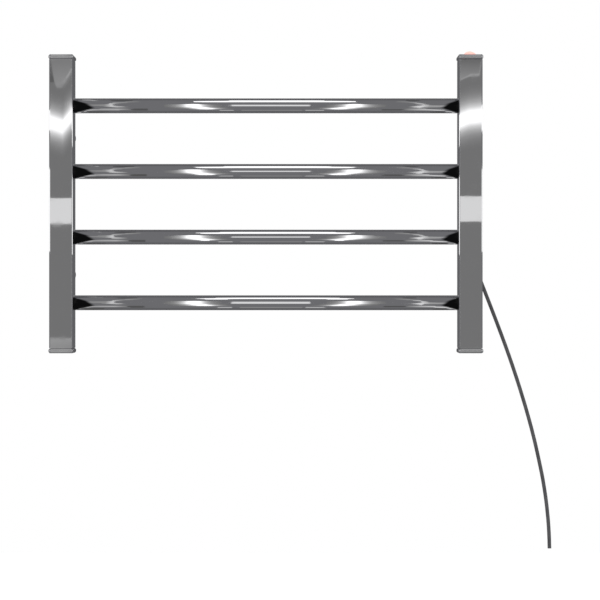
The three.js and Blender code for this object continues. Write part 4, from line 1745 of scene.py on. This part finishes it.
RUNG_CARDS = (
    RungCard(
        Card("high_strip", ((-1.0, 1.25), (1.0, 1.25))),
        (
            (-0.0900, 0.537, 0.487), (-0.0780, 0.597, 0.447), (-0.0550, 0.637, 0.447),
            (-0.0350, 0.667, 0.457), (0.0600, 0.667, 0.457), (0.0850, 0.637, 0.447),
            (0.1040, 0.597, 0.447), (0.1130, 0.537, 0.487),
        ),
    ),
    RungCard(
        Card("middle_strip", ((-1.0, 0.72), (1.0, 0.72)), hung=0.05),
        ((-0.0440, 0.080, -0.130), (0.0560, 0.080, -0.130)),
    ),
    *slanted_light("left_soft_light", -0.099, -0.084, 0.0050, 0.0045, 0.0075),
    *slanted_light("right_soft_light", 0.104, 0.119, 0.0045, 0.0055, -0.0095),
    RungCard(
        Card("low_left_strip", ((-1.0, 0.45), (1.0, 0.45))),
        ((-0.060, -0.61, -0.74), (-0.042, -0.61, -0.74)),
    ),
    RungCard(
        Card("low_strip", ((-1.0, 0.25), (1.0, 0.25))),
        ((-0.032, -0.61, -0.74), (0.046, -0.61, -0.74)),
    ),
    RungCard(
        Card("low_right_strip", ((-1.0, 0.45), (1.0, 0.45))),
        ((0.050, -0.61, -0.74), (0.074, -0.61, -0.74)),
    ),
    RungCard(
        Card("left_cap_high", ((-1.0, 0.34), (1.0, 0.34))),
        ((-0.2900, 0.95, 0.048), (-0.2420, 0.95, 0.048)),
    ),
    RungCard(
        Card("left_cap_low", ((-6.0, 0.17), (0.0, 0.42))),
        ((-0.2900, -0.048, -0.95), (-0.2420, -0.048, -0.95)),
    ),
    RungCard(
        Card("right_cap_high", ((0.0, 0.27), (6.0, 0.33))),
        ((0.2420, 0.95, 0.048), (0.2900, 0.95, 0.048)),
    ),
    RungCard(
        Card("right_cap_low", ((-6.0, 0.13), (0.0, 0.33))),
        ((0.2420, -0.048, -0.95), (0.2900, -0.048, -0.95)),
    ),
    RungCard(
        Card("left_end_spark", ((-1.0, 0.40), (1.0, 0.40))),
        ((-0.2290, 0.79, 0.73), (-0.2190, 0.80, 0.66), (-0.2110, 0.70, 0.62)),
    ),
    RungCard(
        Card(
            "left_end_band",
            ((-0.226, 0.25), (-0.204, 0.27), (-0.195, 0.65)),
            GlowAxis.ALONG_X,
        ),
        (
            (-0.2290, 0.12, -0.02), (-0.2150, 0.15, -0.10), (-0.2040, 0.18, -0.14),
            (-0.1970, 0.20, -0.16), (-0.1930, 0.14, -0.12),
        ),
    ),
    RungCard(
        Card(
            "left_arrow_upper",
            ((-0.197, 0.60), (-0.188, 0.33), (-0.159, 0.20)),
            GlowAxis.ALONG_X,
            hung=0.05,
        ),
        (
            (-0.1975, 0.22, 0.08), (-0.1928, 0.34, 0.18), (-0.1892, 0.41, 0.24),
            (-0.1820, 0.44, 0.30), (-0.1700, 0.53, 0.40), (-0.1590, 0.55, 0.47),
        ),
    ),
    RungCard(
        Card(
            "left_arrow_lower",
            ((-0.197, 0.60), (-0.185, 0.42), (-0.176, 0.20)),
            GlowAxis.ALONG_X,
            hung=0.05,
        ),
        (
            (-0.1975, 0.02, -0.12), (-0.1928, -0.02, -0.22), (-0.1890, -0.10, -0.27),
            (-0.1830, -0.12, -0.26), (-0.1760, -0.15, -0.23),
        ),
    ),
    RungCard(
        Card(
            "left_low_streak",
            ((-0.236, 0.52), (-0.215, 0.35), (-0.190, 0.42), (-0.173, 0.18)),
            GlowAxis.ALONG_X,
        ),
        (
            (-0.2372, -0.86, -0.97), (-0.2311, -0.70, -0.85), (-0.2273, -0.56, -0.73),
            (-0.2230, -0.47, -0.66), (-0.2150, -0.46, -0.62), (-0.2080, -0.42, -0.62),
            (-0.1890, -0.42, -0.62), (-0.1800, -0.43, -0.60), (-0.1735, -0.46, -0.58),
        ),
    ),
    RungCard(
        Card("left_low_shade", ((-1.0, 0.09), (1.0, 0.09))),
        ((-0.1735, -0.48, -0.60), (-0.1680, -0.43, -0.66), (-0.1520, -0.43, -0.66)),
    ),
    RungCard(
        Card("left_foot_shade", ((-1.0, 0.085), (1.0, 0.085))),
        ((-0.2270, -0.86, -0.97), (-0.2210, -0.70, -0.97), (-0.2110, -0.68, -0.95),
         (-0.2020, -0.74, -0.88)),
    ),
    RungCard(
        Card("left_high_shade", ((-1.0, 0.06), (1.0, 0.06))),
        ((-0.1930, 0.66, 0.62), (-0.1840, 0.69, 0.56), (-0.1740, 0.68, 0.56), (-0.1660, 0.66, 0.62)),
    ),
    RungCard(
        Card(
            "right_end_band",
            ((0.198, 0.65), (0.208, 0.35), (0.226, 0.35)),
            GlowAxis.ALONG_X,
        ),
        (
            (0.1975, 0.20, -0.18), (0.2000, 0.16, -0.22), (0.2070, 0.06, -0.24),
            (0.2185, 0.02, -0.20), (0.2300, 0.02, -0.10),
        ),
    ),
    RungCard(
        Card(
            "right_arrow_upper",
            ((0.164, 0.20), (0.184, 0.30), (0.200, 0.60)),
            GlowAxis.ALONG_X,
            hung=0.05,
        ),
        (
            (0.1640, 0.54, 0.46), (0.1727, 0.53, 0.42), (0.1800, 0.49, 0.38),
            (0.1880, 0.40, 0.26), (0.1918, 0.36, 0.20), (0.1956, 0.30, 0.14),
            (0.2000, 0.22, 0.06),
        ),
    ),
    RungCard(
        Card(
            "right_arrow_lower",
            ((0.182, 0.20), (0.193, 0.70), (0.200, 0.70)),
            GlowAxis.ALONG_X,
            hung=0.05,
        ),
        (
            (0.1820, -0.14, -0.23), (0.1870, -0.12, -0.26), (0.1918, -0.08, -0.30),
            (0.1956, -0.02, -0.34), (0.2000, 0.0, -0.22),
        ),
    ),
    RungCard(
        Card(
            "right_low_streak",
            ((0.176, 0.18), (0.192, 0.40), (0.218, 0.65), (0.238, 0.50)),
            GlowAxis.ALONG_X,
        ),
        (
            (0.1765, -0.46, -0.58), (0.1804, -0.42, -0.62), (0.1918, -0.42, -0.64),
            (0.1994, -0.42, -0.64), (0.2070, -0.46, -0.64), (0.2146, -0.50, -0.66),
            (0.2223, -0.54, -0.70), (0.2300, -0.68, -0.84), (0.2375, -0.84, -0.97),
        ),
    ),
    RungCard(
        Card("right_low_shade", ((-1.0, 0.09), (1.0, 0.09))),
        ((0.1480, -0.46, -0.64), (0.1720, -0.46, -0.64), (0.1765, -0.50, -0.58)),
    ),
    RungCard(
        Card("right_foot_shade", ((-1.0, 0.07), (1.0, 0.07))),
        ((0.2100, -0.84, -0.97), (0.2200, -0.78, -0.97), (0.2290, -0.90, -0.98)),
    ),
    RungCard(
        Card("right_high_shade", ((-1.0, 0.06), (1.0, 0.06))),
        ((0.1750, 0.66, 0.62), (0.1800, 0.68, 0.57), (0.1860, 0.68, 0.57), (0.1930, 0.66, 0.62)),
    ),
)

SOFT_BOX_DISTANCE = 8.0
LOW_BOX = (
    (-3.60, 0.22), (-2.75, 0.26), (-2.50, 0.42), (-2.25, 0.75), (-2.10, 0.95), (-1.98, 0.95),
    (-1.90, 0.55), (-1.75, 0.26), (-1.50, 0.16),
)
HIGH_BOX = ((2.20, 0.95), (4.60, 0.50))
REAR_LOW_BOX = (
    (-1.90, 0.14), (-1.65, 0.35), (-1.45, 0.80), (-1.30, 0.90), (-1.20, 0.40), (-0.95, 0.13),
)
REAR_HIGH_BOX = ((1.15, 0.40), (2.00, 0.80), (2.90, 0.60))
SOFT_BOXES = tuple(
    SideCard(
        Card(f"{name}_{side.name.lower()}", stops, full=1.0),
        side, start, end, stops[0][0], stops[-1][0], SOFT_BOX_DISTANCE,
    )
    for side in Side
    for name, start, end, stops in (
        ("low_box_front", 22.0, 64.0, LOW_BOX),
        ("low_box_side", 76.0, 116.0, LOW_BOX),
        ("low_box_back", 128.0, 166.0, LOW_BOX),
        ("high_box_front", 30.0, 66.0, HIGH_BOX),
        ("high_box_side", 84.0, 120.0, HIGH_BOX),
        ("high_box_back", 136.0, 170.0, HIGH_BOX),
        ("rear_low_box", 171.0, 180.0, REAR_LOW_BOX),
        ("rear_high_box", 171.0, 180.0, REAR_HIGH_BOX),
    )
)

SIDE_CARDS = (
    SideCard(
        Card("left_near_light", ((-1.0, 1.2), (1.0, 1.2))), Side.LEFT, 24.0, 120.0, 0.187, 0.224, 1.7
    ),
    SideCard(
        Card("right_near_light", ((-1.0, 1.2), (1.0, 1.2))), Side.RIGHT, 24.0, 120.0, 0.187, 0.234, 1.7
    ),
    SideCard(
        Card("left_far_light", ((-1.0, 1.2), (3.0, 1.2))), Side.LEFT, 12.0, 120.0, 1.420, 1.582, 20.0
    ),
    SideCard(
        Card("right_far_light", ((-1.0, 1.2), (3.0, 1.2))), Side.RIGHT, 12.0, 120.0, 1.420, 1.633, 20.0
    ),
    SideCard(
        Card("left_low_glow", ((-1.0, 1.2), (1.0, 1.2))), Side.LEFT, 30.0, 120.0, 0.010, 0.236, 4.0
    ),
    SideCard(
        Card("right_low_glow", ((-1.0, 1.2), (1.0, 1.2))), Side.RIGHT, 30.0, 120.0, 0.010, 0.236, 4.0
    ),
)


def main() -> None:
    """Builds the camera and the cord, then the rack's sub-assemblies and the studio."""
    logging.basicConfig(level=logging.INFO, format="%(name)s: %(message)s")
    studio = Studio()
    studio.place_camera()
    assemblies = (
        SupplyCord(), Uprights(), Rungs(), EndCaps(), WallBrackets(), PushSwitch(), CordEntry(),
        Wiring(),
    )
    for assembly in assemblies:
        assembly.build()
    studio.build()


if __name__ == "__main__":
    main()
